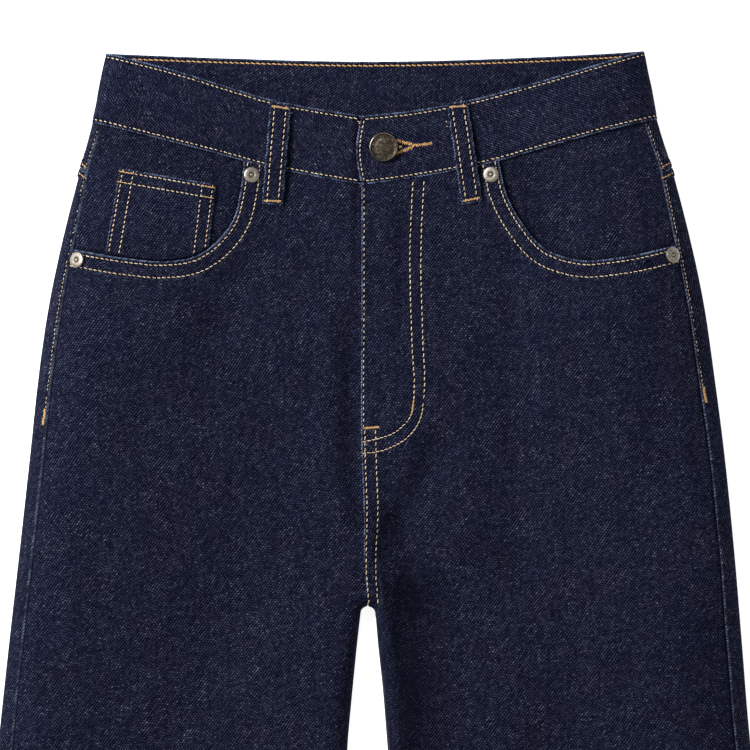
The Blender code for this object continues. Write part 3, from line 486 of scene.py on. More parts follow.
def fine_at_both_ends(shares, count):
    """Shares from 0 to 1 that start with the given ones, end with their mirror, and run evenly between."""
    return np.concatenate([shares, np.linspace(shares[-1], 1 - shares[-1], count)[1:-1], 1 - shares[::-1]])


def outline_x(side, drop):
    return column(OUTLINE, side, drop)


def outseam_x(side, drop):
    return outline_x(side, drop) + INWARD[side] * column(OUTSEAMS, side, drop)


def scoop_rows(side):
    """The scooped edge with its end on the outseam."""
    end = SCOOP_END[side]
    return SCOOPS[side] + [Scoop(float(outseam_x(side, end)) + INWARD[side] * SEAM / 2, end)]


def band_low_drop(table, x):
    """Drop of the waistband's low edge, on the front or the back, at the given x."""
    rows = sorted(table, key=lambda row: row.low_x)
    return spline([row.low_x for row in rows], [row.low_drop for row in rows], x)


def line_of(table, count=90):
    """A smooth line in plan through a table of points, as an array of (x, drop)."""
    return together(*along(table, np.linspace(0, 1, count)))


def outseam_line(side, start=0.045, end=LENGTH):
    drops = np.linspace(start, end, 160)
    return together(outseam_x(side, drops), drops)


def nearest_on(line, x, drop):
    """Distance in plan from each point to a line, and how far along the line its nearest point lies."""
    x, drop = np.broadcast_arrays(np.asarray(x, float), np.asarray(drop, float))
    points = together(x.ravel(), drop.ravel())
    start, run = line[:-1], np.diff(line, axis=0)
    length = np.maximum(np.linalg.norm(run, axis=1), 1e-9)
    before = np.concatenate([[0.0], np.cumsum(length)[:-1]])
    best = np.full(len(points), np.inf)
    place = np.zeros(len(points))
    for first in range(0, len(points), 20000):  # in parts, to spare memory
        part = points[first:first + 20000]
        off = part[:, None, :] - start[None]
        share = np.clip((off * run[None]).sum(-1) / length ** 2, 0, 1)
        away = np.linalg.norm(off - share[..., None] * run[None], axis=-1)
        near = away.argmin(axis=1)
        rows = np.arange(len(part))
        best[first:first + 20000] = away[rows, near]
        place[first:first + 20000] = before[near] + share[rows, near] * length[near]
    return best.reshape(x.shape), place.reshape(x.shape)


def beside(line, distance, sign):
    """A line at a distance beside another, on the side that sign gives."""
    run = np.gradient(line, axis=0)
    run /= np.linalg.norm(run, axis=1, keepdims=True)
    return line + sign * distance * together(run[:, 1], -run[:, 0])


# ------------------------------------------------------------------------------------------- the section

def gap_distance(x, drop):
    """Distance in plan from the gap between the legs, and the direction (x, y) away from it."""
    foot = CROTCH + GAP_RADIUS
    across, up = x - CENTRE_BACK, foot - drop
    round_length = np.maximum(np.hypot(across, up), 1e-9)
    level = np.maximum(drop, foot)
    on_left = across > 0
    edge = np.where(on_left, column(INNER, "left", level), column(INNER, "right", level))
    past_edge = np.where(on_left, x - edge, edge - x)
    above = drop < foot
    distance = np.where(above, round_length - GAP_RADIUS, past_edge)
    away_x = np.where(above, across / round_length, np.where(on_left, 1.0, -1.0))
    away_y = np.where(above, up / round_length, 0.0)
    return np.maximum(distance, 0), away_x, away_y


def rounding(x, drop):
    """The nearest folded edge: cos and sin of the angle round it, the plan direction inward, its height."""
    gap, gap_x, gap_y = gap_distance(x, drop)
    level = np.maximum(drop, INNER[0].drop)
    folds = [
        (inward * (x - outline_x(side, drop)), column(SIDES, side + "_reach", drop),
         column(SIDES, side + "_height", drop), np.full_like(x, inward), np.zeros_like(x))
        for side, inward in INWARD.items()
    ]
    folds.append((gap, column(INNER, "reach", level), column(INNER, "height", level), gap_x, gap_y))
    shares = np.array([np.clip(fold[0] / fold[1], 0, 1) for fold in folds])
    nearest = shares.argmin(axis=0)
    share = shares.min(axis=0)
    heights, in_x, in_y = (np.choose(nearest, [fold[i] for fold in folds]) for i in (2, 3, 4))
    return 1 - share, np.sqrt(1 - (1 - share) ** 2), in_x, in_y, FOLD_SHARE * heights


def fold_height(x, drop, folds):
    """What soft troughs and ridges add to a height."""
    total = np.zeros_like(x)
    for fold in folds:
        run_x, run_drop = fold.x2 - fold.x1, fold.drop2 - fold.drop1
        share = ((x - fold.x1) * run_x + (drop - fold.drop1) * run_drop) / (run_x ** 2 + run_drop ** 2)
        share = np.clip(share, 0, 1)
        off = np.hypot(x - fold.x1 - share * run_x, drop - fold.drop1 - share * run_drop)
        total += fold.height * bell(off, fold.width)
    return total


def front_height(x, drop):
    """Height of the front before its edges round over: high along the folded sides, low in the middle."""
    middle, run = column(SIDES, "middle", drop), column(SIDES, "run", drop)
    height = middle + fold_height(x, drop, FOLDS)
    for side, inward in INWARD.items():
        past = (x - outline_x(side, drop)) * inward - column(SIDES, side + "_reach", drop)
        height += (column(SIDES, side + "_height", drop) - middle) * (1 - ease(past / run))
    level = np.maximum(drop, INNER[0].drop)
    past = gap_distance(x, drop)[0] - column(INNER, "reach", level)
    height += (column(INNER, "height", level) - middle) * (1 - ease(past / run)) * (drop > CROTCH)
    return height


def front_wall(x, drop, out=0.0, wall=CLOTH):
    """Outer and inner points of a layer of the front, moved out along the surface, at plan points."""
    cos, sin, in_x, in_y, widest = rounding(x, drop)
    z = widest + (front_height(x, drop) - widest) * sin
    y = TOP_Y - drop
    outer = together(x - in_x * out * cos, y - in_y * out * cos, z + out * sin)
    inner = outer + np.asarray(wall)[..., None] * together(in_x * cos, in_y * cos, -sin)
    return outer, inner


def back_wall(x, drop, out=0.0, wall=CLOTH):
    """The same for the back, whose outer face is the flat underside."""
    cos, sin, in_x, in_y, widest = rounding(x, drop)
    lift = BACK_LIFT * (1 - ease((drop - LIFT_ENDS[0]) / (LIFT_ENDS[1] - LIFT_ENDS[0])))
    inward = together(in_x * cos, in_y * cos, sin)
    outer = together(x, TOP_Y - drop, lift + (widest - lift) * (1 - sin))
    outer = outer - np.asarray(out)[..., None] * inward
    return outer, outer + np.asarray(wall)[..., None] * inward


# ---------------------------------------------------------------------------------------- relief and wear

def waves(x, drop):
    total = np.zeros_like(x)
    for wave in WAVES:
        phase = (x * math.cos(wave.turn) + drop * math.sin(wave.turn)) * 2 * math.pi / wave.length
        total += wave.height * np.sin(phase + wave.phase + 0.8 * np.sin(drop * 21 + wave.phase))
    return total


def seam_relief(seams, x, drop):
    """What a piece's seams do at plan points: relief of its outer face, wear (0 to 1), shade (0 to 1)."""
    relief, wear, shade = (np.zeros(np.broadcast(x, drop).shape) for _ in range(3))
    for seam in seams:
        distance, place = nearest_on(seam.line, x, drop)
        if seam.hem:
            relief += seam.rise * (1 - ease((distance - seam.hem) / STEP))
            ripple = sum(np.sin(2 * math.pi * place / length + 9 * length * 1e3) for length in PUCKER_LENGTHS)
            envelope = bell(np.maximum(distance - seam.hem, 0), PUCKER_REACH) * (seam.rise > 0)
            relief += PUCKER * ripple * envelope
            wear = np.maximum(wear, HEM_WEAR * seam.worn * bell(distance - seam.hem, STEP))
        if seam.worn:
            relief -= rolled(distance)
            wear = np.maximum(wear, seam.worn * bell(distance, WORN_WIDTH))
        for row in seam.rows:
            groove = bell(distance - row, GROOVE)
            relief -= GROOVE_DEPTH * groove
            shade = np.maximum(shade, GROOVE_SHADE * groove)
    return relief, wear, shade


def darkened(shade, x, drop):
    """Painted shade of the grooves, joined with the painted shade of the folds and beside raised edges."""
    return 1 - (1 - shade) * (1 - np.clip(fold_height(x, drop, PAINTED_SHADES), 0, DARKEST))


def scoop_seam(side):
    return Seam(line_of(scoop_rows(side)), SCOOP_STITCH, SCOOP_HEM, rise=0.0004, worn=1.0)


def fly_edge_line(start, end):
    drops = np.linspace(start, end, 60)
    return together(column(FRONT_EDGE, "x", drops), drops)


def rise_line(offsets):
    """A row of stitches beside the front's folded edge, which nears it on the way down."""
    line = fly_edge_line(RISE_FROM, CROTCH - 0.0015)
    line[:, 0] += offsets[0] + (offsets[1] - offsets[0]) * ease(np.linspace(-0.6, 1, len(line)))
    return line


HEM_LINE = np.array([[-0.30, LENGTH], [0.30, LENGTH]])
FLY_FOOT = 0.257  # drop where the fly's edge turns into the seam below it


def front_seams(side):
    sunk = Seam(outseam_line(side, SCOOP_END[side]), (0.0005,), hem=0.0012, rise=-0.0004)
    hem = Seam(HEM_LINE, (HEM_STITCH,), HEM_TURN, rise=0.0005, worn=0.9)
    seams = [scoop_seam(side), sunk, hem]
    if side == "left":
        seams += [
            Seam(fly_edge_line(0.080, FLY_FOOT), (FLY_STITCH,), worn=1.3),
            Seam(fly_edge_line(FLY_FOOT, CROTCH - 0.001), hem=0.0093, rise=0.0004, worn=1.5),
        ]
        rows = [rise_line(offsets) for offsets in RISE_OFFSETS] + [line_of(FLY_INNER), line_of(FLY_OUTER)]
        seams += [Seam(row, (0.0,)) for row in rows]
    return seams


def back_seams(side):
    stitched = outseam_line(side, 0.045, OUTSEAM_TACK[side][1])
    below = outseam_line(side, OUTSEAM_TACK[side][1])
    return [
        Seam(stitched, (OUTSEAM_STITCH,), hem=0.0050, rise=0.0003, worn=0.45),
        Seam(below, hem=0.0040, rise=0.0002, worn=0.42),
    ]


def sunk_at_fly(x, drop):
    """How far the right front sinks to pass under the left one along the fly."""
    edge = column(FRONT_EDGE, "x", drop)
    depth = 1 - ease((drop - FLY_END - LAP_ENDS) / LAP_ENDS)
    return (CLOTH + LAY) * depth * ease((x - edge + LAP_FROM) / LAP_RUN)


def front_soft(side, x, drop):
    """What creases, waves and the fly's underlap add to a front panel's height."""
    calm = 1 - HEM_CALM * ease((drop - LENGTH + HEM_CALM_FROM) / HEM_CALM_RUN)
    soft = (waves(x, drop) + fold_height(x, drop, CREASES)) * calm
    return soft - sunk_at_fly(x, drop) if side == "right" else soft


def yoke_line(side, under):
    """The yoke's seam in plan: across the underside, or on the strip from the side fold to the outseam."""
    fold = [float(outline_x(side, YOKE_AT_SIDE)), YOKE_AT_SIDE]
    if under:
        return np.array([[CENTRE_BACK, YOKE_AT_CENTRE], fold])
    return np.array([fold, [float(outseam_x(side, YOKE_AT_OUTSEAM)), YOKE_AT_OUTSEAM]])


def back_relief(side, x, drop, under):
    """Seam relief, wear and shade of a back panel or a yoke, on the underside or the strip by the outseam."""
    raised = 0.0 if under else 0.0003
    yoke = Seam(yoke_line(side, under), (YOKE_STITCH,), hem=0.0048, rise=2 * raised, worn=0.5)
    seams = [yoke, Seam(HEM_LINE, (HEM_STITCH,), HEM_TURN, rise=raised, worn=0.9)]
    if under:
        seams.append(Seam(SEAT_LINE, RISE_STITCH if side == "left" else (), worn=0.5))
    else:
        seams += BACK_SEAMS[side]
    return seam_relief(seams, x, drop)


SEAT_LINE = np.array([[CENTRE_BACK, 0.045], [CENTRE_BACK, CROTCH]])
FRONT_SEAMS = {side: front_seams(side) for side in BOTH}
BACK_SEAMS = {side: back_seams(side) for side in BOTH}


# ------------------------------------------------------------------------------------------- fine grids

# Distances in from a front's outer boundary, close together at its edge and its stitch rows.
EDGE_STEPS = runs((0, 0.0006, 0.0003), (0.0006, 0.0036, 0.0005), (0.0036, 0.0092, 0.0018),
                  (0.0092, 0.0132, 0.0005), (0.0132, 0.0145, 0.0013))
INNER_STEPS = {
    "right": runs((0, 0.0030, 0.0006), (0.0030, 0.0160, 0.0018)),
    "left": runs((0, 0.0030, 0.0005), (0.0030, 0.0070, 0.0014), (0.0070, 0.0105, 0.0005),
                 (0.0105, 0.0295, 0.0032), (0.0295, 0.0343, 0.0006), (0.0343, 0.0372, 0.0015),
                 (0.0372, 0.0402, 0.0006), (0.0402, 0.0440, 0.0019)),
}
MIDDLE_COLUMNS = 46
SHARP = 55  # degrees between faces from which an edge is drawn sharp
SCOOP_ROWS = 60
MITRE_RUN = 0.022  # length over which offsets from the boundary turn into a corner's mitre
HANG = 0.030  # drop over which a front's rows take up the waistband's curve


def leg_drops(start):
    """Levels below the scooped pockets, close together at the fly's foot, the crotch and the hem."""
    foot = CROTCH + GAP_RADIUS
    return runs((start, 0.2300, 0.0025), (0.2300, 0.2560, 0.0008), (0.2560, 0.3350, 0.0030),
                (0.3350, 0.3470, 0.0015), (0.3470, foot, 0.0006), (foot, 0.3720, 0.0018),
                (0.3720, 0.4400, 0.0040), (0.4400, LENGTH - 0.0180, 0.0070),
                (LENGTH - 0.0180, LENGTH - 0.0130, 0.0012), (LENGTH - 0.0130, LENGTH - 0.0098, 0.0005),
                (LENGTH - 0.0098, LENGTH - 0.0016, 0.0016), (LENGTH - 0.0016, LENGTH, 0.0004))


def gap_edge_x(side, drop):
    """x of the leg's inner edge, from the top of the gap down."""
    foot = CROTCH + GAP_RADIUS
    up = np.clip(foot - drop, 0, GAP_RADIUS)
    sign = -INWARD[side]
    round_x = CENTRE_BACK + sign * np.sqrt(GAP_RADIUS ** 2 - up ** 2)
    return np.where(drop < foot, round_x, column(INNER, side, np.maximum(drop, foot)))


def front_inner_x(side, drop):
    """x of a front's inner boundary: the fly and the seam below it, then the leg's inner edge."""
    sign = -INWARD[side]
    seam = column(FRONT_EDGE, "x", drop) + sign * SEAM / 2
    if side == "right":
        seam = seam + FLY_LAP * (1 - ease((drop - FLY_END) / LAP_ENDS))
    return np.where(drop <= CROTCH, seam, gap_edge_x(side, drop) + sign * CLOSE / 10)


def unit(vectors):
    return vectors / np.maximum(np.linalg.norm(vectors, axis=-1, keepdims=True), 1e-12)


def edge_columns(side, scoop, seam_x, seam_drop):
    """Plan points at EDGE_STEPS in from a front's outer boundary, mitred at its two corners."""
    sign = INWARD[side]
    run = unit(np.gradient(scoop, axis=0))
    inward = sign * together(run[:, 1], -run[:, 0])
    level = np.array([sign, 0.0])
    corner = (inward[-1] + level) / (1 + inward[-1] @ level)
    behind = lengths(scoop)
    near_x = scoop[0, 0] + sign * 0.002
    low = band_low_drop(FRONT_BANDS[side], np.array([scoop[0, 0], near_x]))
    along_band = unit(np.array([near_x - scoop[0, 0], low[1] - low[0]]))
    top = along_band / (along_band @ inward[0])
    to_corner = np.clip(1 - (behind[-1] - behind) / MITRE_RUN, 0, 1)[:, None]
    to_top = np.clip(1 - behind / MITRE_RUN, 0, 1)[:, None]
    scoop_way = inward + to_corner * (corner - inward[-1]) + to_top * (top - inward[0])
    from_corner = np.clip(1 - (seam_drop - scoop[-1, 1]) / MITRE_RUN, 0, 1)[:, None]
    seam_way = level + from_corner * (corner - level)
    starts = np.concatenate([scoop, together(seam_x, seam_drop)])
    ways = np.concatenate([scoop_way, seam_way])
    return starts[:, None] + EDGE_STEPS[None, :, None] * ways[:, None]


def front_plan(side):
    """Plan points (x, drop) of a front panel, rows by columns from the outer to the inner boundary."""
    sign = -INWARD[side]
    scoop = together(*along(scoop_rows(side), np.linspace(0, 1, SCOOP_ROWS)))
    levels = leg_drops(FAN_END + 0.0018)
    lag = (FAN_END - scoop[-1, 1]) * np.clip((LEVEL_FROM - levels) / (LEVEL_FROM - FAN_END), 0, 1)
    seam_drop = levels - lag
    seam_x = outseam_x(side, seam_drop) - sign * SEAM / 2
    edge = edge_columns(side, scoop, seam_x, seam_drop)
    band = FRONT_BANDS[side][5]
    inner_drop = np.concatenate([np.linspace(band.low_drop + SEAM, FAN_END, SCOOP_ROWS), levels])
    inner_x = front_inner_x(side, inner_drop)
    start, end = edge[:, -1], together(inner_x, inner_drop)
    width = np.abs(end[:, 0] - start[:, 0])[:, None]
    from_inner = 1 - INNER_STEPS[side][::-1][None] / width
    between = np.linspace(0, 1, MIDDLE_COLUMNS + 2)[1:-1][None] * from_inner[:, :1]
    share = np.concatenate([between, from_inner], axis=1)[..., None]
    inside = start[:, None] + share * (end - start)[:, None]
    plan = np.concatenate([edge, inside], axis=1)
    xs, drops = plan[..., 0], plan[..., 1]
    up = band_low_drop(FRONT_BANDS[side], xs[0]) + SEAM - drops[0]
    fade = np.clip(1 - (inner_drop - inner_drop[0]) / HANG, 0, 1)[:, None]
    return xs, drops + up * fade


def back_plan(side, centre_drops, side_drops, seam_drops):
    """Plan points of a back piece: the underside from the centre to the side fold, then up to the outseam."""
    sign = -INWARD[side]
    seat_x = CENTRE_BACK + sign * SEAM / 2
    inner_x = np.where(centre_drops < CROTCH, seat_x, gap_edge_x(side, centre_drops) + sign * CLOSE / 10)
    side_x = outline_x(side, side_drops)
    seam_x = outseam_x(side, seam_drops) + sign * SEAM / 2
    inner_reach = column(INNER, "reach", np.maximum(centre_drops, INNER[0].drop))
    reach = column(SIDES, side + "_reach", side_drops)
    width = np.abs(side_x - inner_x)
    flat_seam = runs((0, 0.0021, 0.0007), (0.0021, 0.0070, 0.0017), (0.0070, 0.0090, 0.0005))
    turn = 1 - np.cos(np.linspace(0, math.pi / 2, len(flat_seam)))
    inner_parts = np.maximum(turn[None] * inner_reach[:, None], flat_seam[None])
    outer_parts = width[:, None] - turn[::-1][None] * reach[:, None]
    middle = np.linspace(0, 1, 38)[1:-1][None]
    between = inner_parts[:, -1:] + middle * (outer_parts[:, :1] - inner_parts[:, -1:])
    share = np.concatenate([inner_parts, between, outer_parts], axis=1) / width[:, None]
    drops = centre_drops[:, None] + share * (side_drops - centre_drops)[:, None]
    under = together(inner_x[:, None] + share * (side_x - inner_x)[:, None], drops)
    inset = np.abs(seam_x - side_x)[:, None]
    angle = np.arccos(np.clip(1 - inset / reach[:, None], 0, 1))
    wide = np.linspace(0, 1, 13)[1:-4][None]
    parts = (1 - np.cos(wide * angle)) * reach[:, None] / inset
    fine = 1 - np.array([0.0024, 0.0019, 0.0014, 0.0009, 0.0005, 0.0002, 0.0])[None] / inset
    share = np.concatenate([parts * fine[:, :1] / parts[:, -1:] * 0.97, fine], axis=1)
    drops = side_drops[:, None] + share * (seam_drops - side_drops)[:, None]
    edge = outline_x(side, drops)
    return under, together(edge + share * (seam_x[:, None] - edge), drops)


# ------------------------------------------------------------------------------------------- making meshes

def mesh_of(name, points, quads, values, sharp=None):
    """A mesh of quads, with named values at its points (numbers or vectors)."""
    mesh = bpy.data.meshes.new(name)
    mesh.vertices.add(len(points))
    mesh.vertices.foreach_set("co", np.ascontiguousarray(points, np.float32).ravel())
    mesh.loops.add(quads.size)
    mesh.loops.foreach_set("vertex_index", np.ascontiguousarray(quads, np.int32).ravel())
    mesh.polygons.add(len(quads))
    mesh.polygons.foreach_set("loop_start", np.arange(0, quads.size, 4, dtype=np.int32))
    mesh.update(calc_edges=True)
    for value_name, data in values.items():
        kind, field = ("FLOAT_VECTOR", "vector") if data.ndim == 2 else ("FLOAT", "value")
        made = mesh.attributes.new(value_name, kind, "POINT")
        made.data.foreach_set(field, np.ascontiguousarray(data, np.float32).ravel())
    mesh.shade_smooth()
    if sharp:
        mesh.set_sharp_from_angle(angle=math.radians(sharp))
    return mesh


def add_piece(name, mesh, slot, node_name=None):
    """A piece of the garment, which rides on its one body and stands for the node named, if any."""
    mesh.materials.append(MATERIALS[slot])
    obj = bpy.data.objects.new(name, mesh)
    bpy.context.scene.collection.objects.link(obj)
    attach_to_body(obj, "root")
    if node_name:
        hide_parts(node_name)
    return obj


def grid_quads(rows, columns):
    """Quads of a closed wall between two grids of points."""
    cells = rows * columns
    index = np.arange(cells).reshape(rows, columns)
    face = together(index[:-1, :-1], index[:-1, 1:], index[1:, 1:], index[1:, :-1]).reshape(-1, 4)
    rim = np.concatenate([index[0, :-1], index[:-1, -1], index[-1, :0:-1], index[:0:-1, 0]])
    ahead = np.roll(rim, -1)
    sides = together(ahead, rim, cells + rim, cells + ahead)
    return np.concatenate([face, cells + face[:, ::-1], sides])


def ring_quads(rows, count):
    """Quads between rows of points that each close to a ring."""
    index = np.arange(rows * count).reshape(rows, count)
    ahead = np.roll(index, -1, axis=1)
    return together(index[:-1], ahead[:-1], ahead[1:], index[1:]).reshape(-1, 4)


def cloth_place(outer, drops, sign, fixed):
    """Each point's place in the cut cloth, in metres: across it, along its row, and down its warp.
    sign is the way that "across" grows along the row, and the points of column fixed stay at their x."""
    step = np.hypot(*np.moveaxis(np.diff(outer[..., [0, 2]], axis=1), -1, 0))
    length = np.concatenate([np.zeros((len(outer), 1)), np.cumsum(step, axis=1)], axis=1)
    fixed = slice(fixed, fixed + 1)
    return together(outer[:, fixed, 0] + sign * (length - length[:, fixed]), drops)


def signed_volume(points, quads):
    a, b, c, d = (points[quads[:, i]] for i in range(4))
    return float((a * (np.cross(b, c) + np.cross(c, d))).sum())


def wall_piece(node_name, outer, inner, cloth, wear, shade, inside=1.0):
    """A closed wall of denim between two grids of points, whose cut it measures without keeping.
    cloth is each point's place in the cut cloth, and inside is 1 where the inner face shows its pale weft."""
    name = "denim_" + node_name
    rows, columns = outer.shape[:2]
    points = np.concatenate([outer.reshape(-1, 3), inner.reshape(-1, 3)])
    quads = grid_quads(rows, columns)
    if signed_volume(points, quads) < 0:
        quads = quads[:, ::-1]
    flat = np.concatenate([cloth, np.zeros((rows, columns, 1))], axis=-1).reshape(-1, 3)
    cells = rows * columns
    values = {
        "cloth": np.concatenate([flat, flat]),
        "wear": np.tile(wear.ravel(), 2),
        "shade": np.tile(shade.ravel(), 2),
        "inside": np.concatenate([np.zeros(cells), np.full(cells, float(inside))]),
    }
    mesh = mesh_of(name, points, quads, values, sharp=SHARP)
    obj = add_piece(name, mesh, "denim", node_name)
    cut_size(outer, cloth)


def cut_size(outer, cloth):
    """Width, length and area of the cloth that a grid covers."""
    a, b, c, d = outer[:-1, :-1], outer[:-1, 1:], outer[1:, 1:], outer[1:, :-1]
    halves = np.cross(b - a, c - a), np.cross(c - a, d - a)
    area = sum(np.linalg.norm(half, axis=-1).sum() for half in halves) / 2
    width, length = np.ptp(cloth[..., 0]), np.ptp(cloth[..., 1])
    width = max(width, area / 0.98 / length)
    return float(width), float(length), float(area)


# ------------------------------------------------------------------------------------------ materials

class Value:
    """What a node's socket gives. Arithmetic with it adds maths nodes to its tree."""

    def __init__(self, tree, socket):
        self.tree = tree
        self.socket = socket

    def maths(self, operation, *others):
        return node(self.tree, "Math", dict(enumerate((self, *others))), operation=operation)

    def __add__(self, other):
        return self.maths("ADD", other)

    def __sub__(self, other):
        return self.maths("SUBTRACT", other)

    def __mul__(self, other):
        return self.maths("MULTIPLY", other)

    def __truediv__(self, other):
        return self.maths("DIVIDE", other)

    def humps(self):
        """A hump over each whole number's span: 0 at both of its ends and 1 in the middle."""
        return (self.maths("FRACT") * math.pi).maths("SINE")

    def remap(self, low, high, to_low=0.0, to_high=1.0):
        return node(self.tree, "MapRange", dict(enumerate((self, low, high, to_low, to_high))), clamp=True)

    def split(self):
        """The three parts of a vector or a colour."""
        made = self.tree.nodes.new("ShaderNodeSeparateXYZ")
        put(self.tree, made.inputs[0], self)
        return [Value(self.tree, socket) for socket in made.outputs]

    def ramp(self, stops):
        """A colour read from a ramp of (place, colour) stops."""
        made = self.tree.nodes.new("ShaderNodeValToRGB")
        elements = made.color_ramp.elements
        while len(elements) < len(stops):
            elements.new(0.5)
        for element, (place, colour) in zip(elements, stops):
            element.position = place
            element.color = (*colour, 1)
        put(self.tree, made.inputs[0], self)
        return Value(self.tree, made.outputs[0])


def put(tree, socket, value):
    if isinstance(value, Value):
        tree.links.new(value.socket, socket)
    elif isinstance(value, tuple) and len(value) == 3 and socket.type == "RGBA":
        socket.default_value = (*value, 1)
    else:
        socket.default_value = value


def node(tree, kind, inputs, output=0, **settings):
    """A shader node with its inputs, by name or number; gives one of its outputs."""
    made = tree.nodes.new("ShaderNode" + kind)
    for key, value in settings.items():
        setattr(made, key, value)
    for key, value in inputs.items():
        put(tree, made.inputs[key], value)
    return Value(tree, made.outputs[output])


def attribute(tree, name, output="Fac"):
    """A value that the meshes carry at their points."""
    return node(tree, "Attribute", {}, output, attribute_name=name)


def blend(factor, first, second, kind="MIX"):
    """Two colours mixed by a factor. At least one of the three comes from a tree."""
    tree = next(value.tree for value in (factor, first, second) if isinstance(value, Value))
    made = tree.nodes.new("ShaderNodeMix")
    made.data_type = "RGBA"
    made.blend_type = kind
    made.clamp_factor = True
    for index, value in ((0, factor), (6, first), (7, second)):
        put(tree, made.inputs[index], value)
    return Value(tree, made.outputs[2])


def noise(vector, scale, stretch=(1, 1, 1), detail=2.0, roughness=0.5):
    """Noise in space, its scale in cells per metre, stretched by shares of that scale."""
    scaled = node(vector.tree, "VectorMath", {0: vector, 1: stretch}, operation="MULTIPLY")
    inputs = {"Vector": scaled, "Scale": scale, "Detail": detail, "Roughness": roughness}
    return node(vector.tree, "TexNoise", inputs, noise_dimensions="3D")


def bump(height, strength, distance):
    """The surface's direction, tilted as by a relief."""
    inputs = {"Strength": strength, "Distance": distance, "Height": height}
    return node(height.tree, "Bump", inputs, "Normal")


def new_material(name, roughness, metallic=0.0, **sockets):
    """A material with its tree and its shader, whose uniform values are set on its own sockets."""
    made = bpy.data.materials.new(name)
    made.use_nodes = True
    shader = made.node_tree.nodes["Principled BSDF"]
    shader.inputs["Roughness"].default_value = roughness
    shader.inputs["Metallic"].default_value = metallic
    for socket, value in sockets.items():
        shader.inputs[socket.replace("_", " ")].default_value = value
    return made, made.node_tree, shader


def attach(shader, **values):
    """Links what varies over the surface to the shader's sockets."""
    for socket, value in values.items():
        put(value.tree, shader.inputs[socket.replace("_", " ")], value)


INDIGO = (0.0115, 0.0130, 0.0310)
# The warp's colours from the gaps between the wales to the palest floats, at tones from 0 to 1.
TONES = [
    (0.00, (0.0003, 0.0005, 0.0030)),
    (0.30, (0.0050, 0.0060, 0.0180)),
    (0.50, (0.0160, 0.0180, 0.0380)),
    (0.75, (0.0600, 0.0650, 0.1000)),
    (1.00, (0.2300, 0.2400, 0.3000)),
]
BASE_TONE = 0.330
WORN = (0.200, 0.270, 0.430)
WEFT = (0.120, 0.130, 0.165)  # the paler inner face
# the colour that painted shade darkens the cloth towards
SHADED = (0.0012, 0.0014, 0.0035)
WARM, COOL = (1.02, 0.995, 0.99), (0.97, 1.01, 1.02)  # slight tints in patches
TWILL = (0.00180, 0.00256)  # a wale's spacing across the cloth and along it
WANDER = 2.4  # wales by which noise moves their lines
GRIT = 1587  # specks for each metre
FLOAT = 0.0015  # length of one warp float along its wale
STAGGER = 7.0  # floats by which neighbouring wales are shifted, at most
PICK = 0.00062  # spacing of the weft threads
TICK = 0.00190  # spacing of the pale ticks on a worn edge
DENIM_SHEEN = dict(Sheen_Weight=0.005, Sheen_Roughness=0.45, Sheen_Tint=(0.45, 0.55, 0.85, 1))


def denim_material():
    """Dark rinsed twill: wales that climb to the right, floats of uneven paleness, worn folded edges."""
    made, tree, shader = new_material("denim", 0.90, Specular_IOR_Level=0.015, **DENIM_SHEEN)
    cloth = attribute(tree, "cloth", "Vector")
    wear, shade, inside = (attribute(tree, name) for name in ("wear", "shade", "inside"))
    across, down, _ = cloth.split()

    # The weave: wales of warp floats, each float with its own paleness.
    turns = across / TWILL[0] + down / TWILL[1] + noise(cloth, 45, (1, 0.6, 1), 1, 0.4) * WANDER
    wale_id, wale = turns.maths("FLOOR"), turns.humps()
    stagger = node(tree, "TexWhiteNoise", {"W": wale_id}, noise_dimensions="1D")
    floats = down / FLOAT + stagger * STAGGER
    float_id = node(tree, "CombineXYZ", {0: wale_id, 1: floats.maths("FLOOR")})
    pale = node(tree, "TexWhiteNoise", {"Vector": float_id}, noise_dimensions="2D")
    pick = (down * (2 * math.pi / PICK)).maths("SINE").remap(-1, 1)
    cells = node(tree, "TexVoronoi", {"Vector": cloth, "Scale": GRIT}, "Color", voronoi_dimensions="2D")
    speck = cells.split()[0]
    streak, broad_streak = noise(cloth, 900, (1, 0.030, 1)), noise(cloth, 190, (1, 0.060, 1))
    slub = noise(cloth, 300, (1, 0.10, 1), 1)
    patch, broad = noise(cloth, 62, roughness=0.55), noise(cloth, 15)
    hue = noise(cloth, 34, (1, 1, 3))

    # The colour: a tone from the weave, with streaks along the warp and larger patches.
    crest = wale * floats.humps().remap(0.0, 0.8, 0.45, 1.0)
    grain = (speck - 0.5) * 0.28 + (crest - 0.52) * 0.58
    grain = grain + (pale - 0.5) * crest.remap(0.10, 0.60, 0.08, 0.20)
    grain = grain + pale.remap(0.88, 1.0, 0.0, 0.10) * crest
    drift = streak.remap(0.28, 0.72, -0.03, 0.03) + broad_streak.remap(0.3, 0.7, -0.015, 0.015)
    drift = drift + broad.remap(0.3, 0.7, -0.010, 0.010)
    tone = grain * patch.remap(0.34, 0.66, 0.80, 1.04) + drift + BASE_TONE
    body = blend(1.0, tone.ramp(TONES), blend(hue.remap(0.35, 0.65), WARM, COOL), "MULTIPLY")

    # Wear in ticks along the folded edges, painted shade in grooves and folds, and the inner face.
    ticks = ((across + down) / TICK).humps().remap(0.40, 0.95) * speck.remap(0.1, 0.8, 0.50, 1.0)
    uneven = patch.remap(0.30, 0.70, 0.60, 1.25) * stagger.remap(0.15, 0.75, 0.25, 1.30)
    body = blend((wear * uneven * ticks).remap(0.03, 0.75), body, WORN)
    body = blend(shade, body, SHADED)
    body = blend(inside, body, blend((wale * pick).remap(0.1, 0.8), WEFT, INDIGO))

    relief = crest * 0.9 + speck * 0.3 + pick * 0.10 + slub * 0.5
    rough = speck.remap(0.3, 0.7, 0.84, 0.97)
    attach(shader, Base_Color=body, Normal=bump(relief, 0.5, 0.00020), Roughness=rough)
    return made
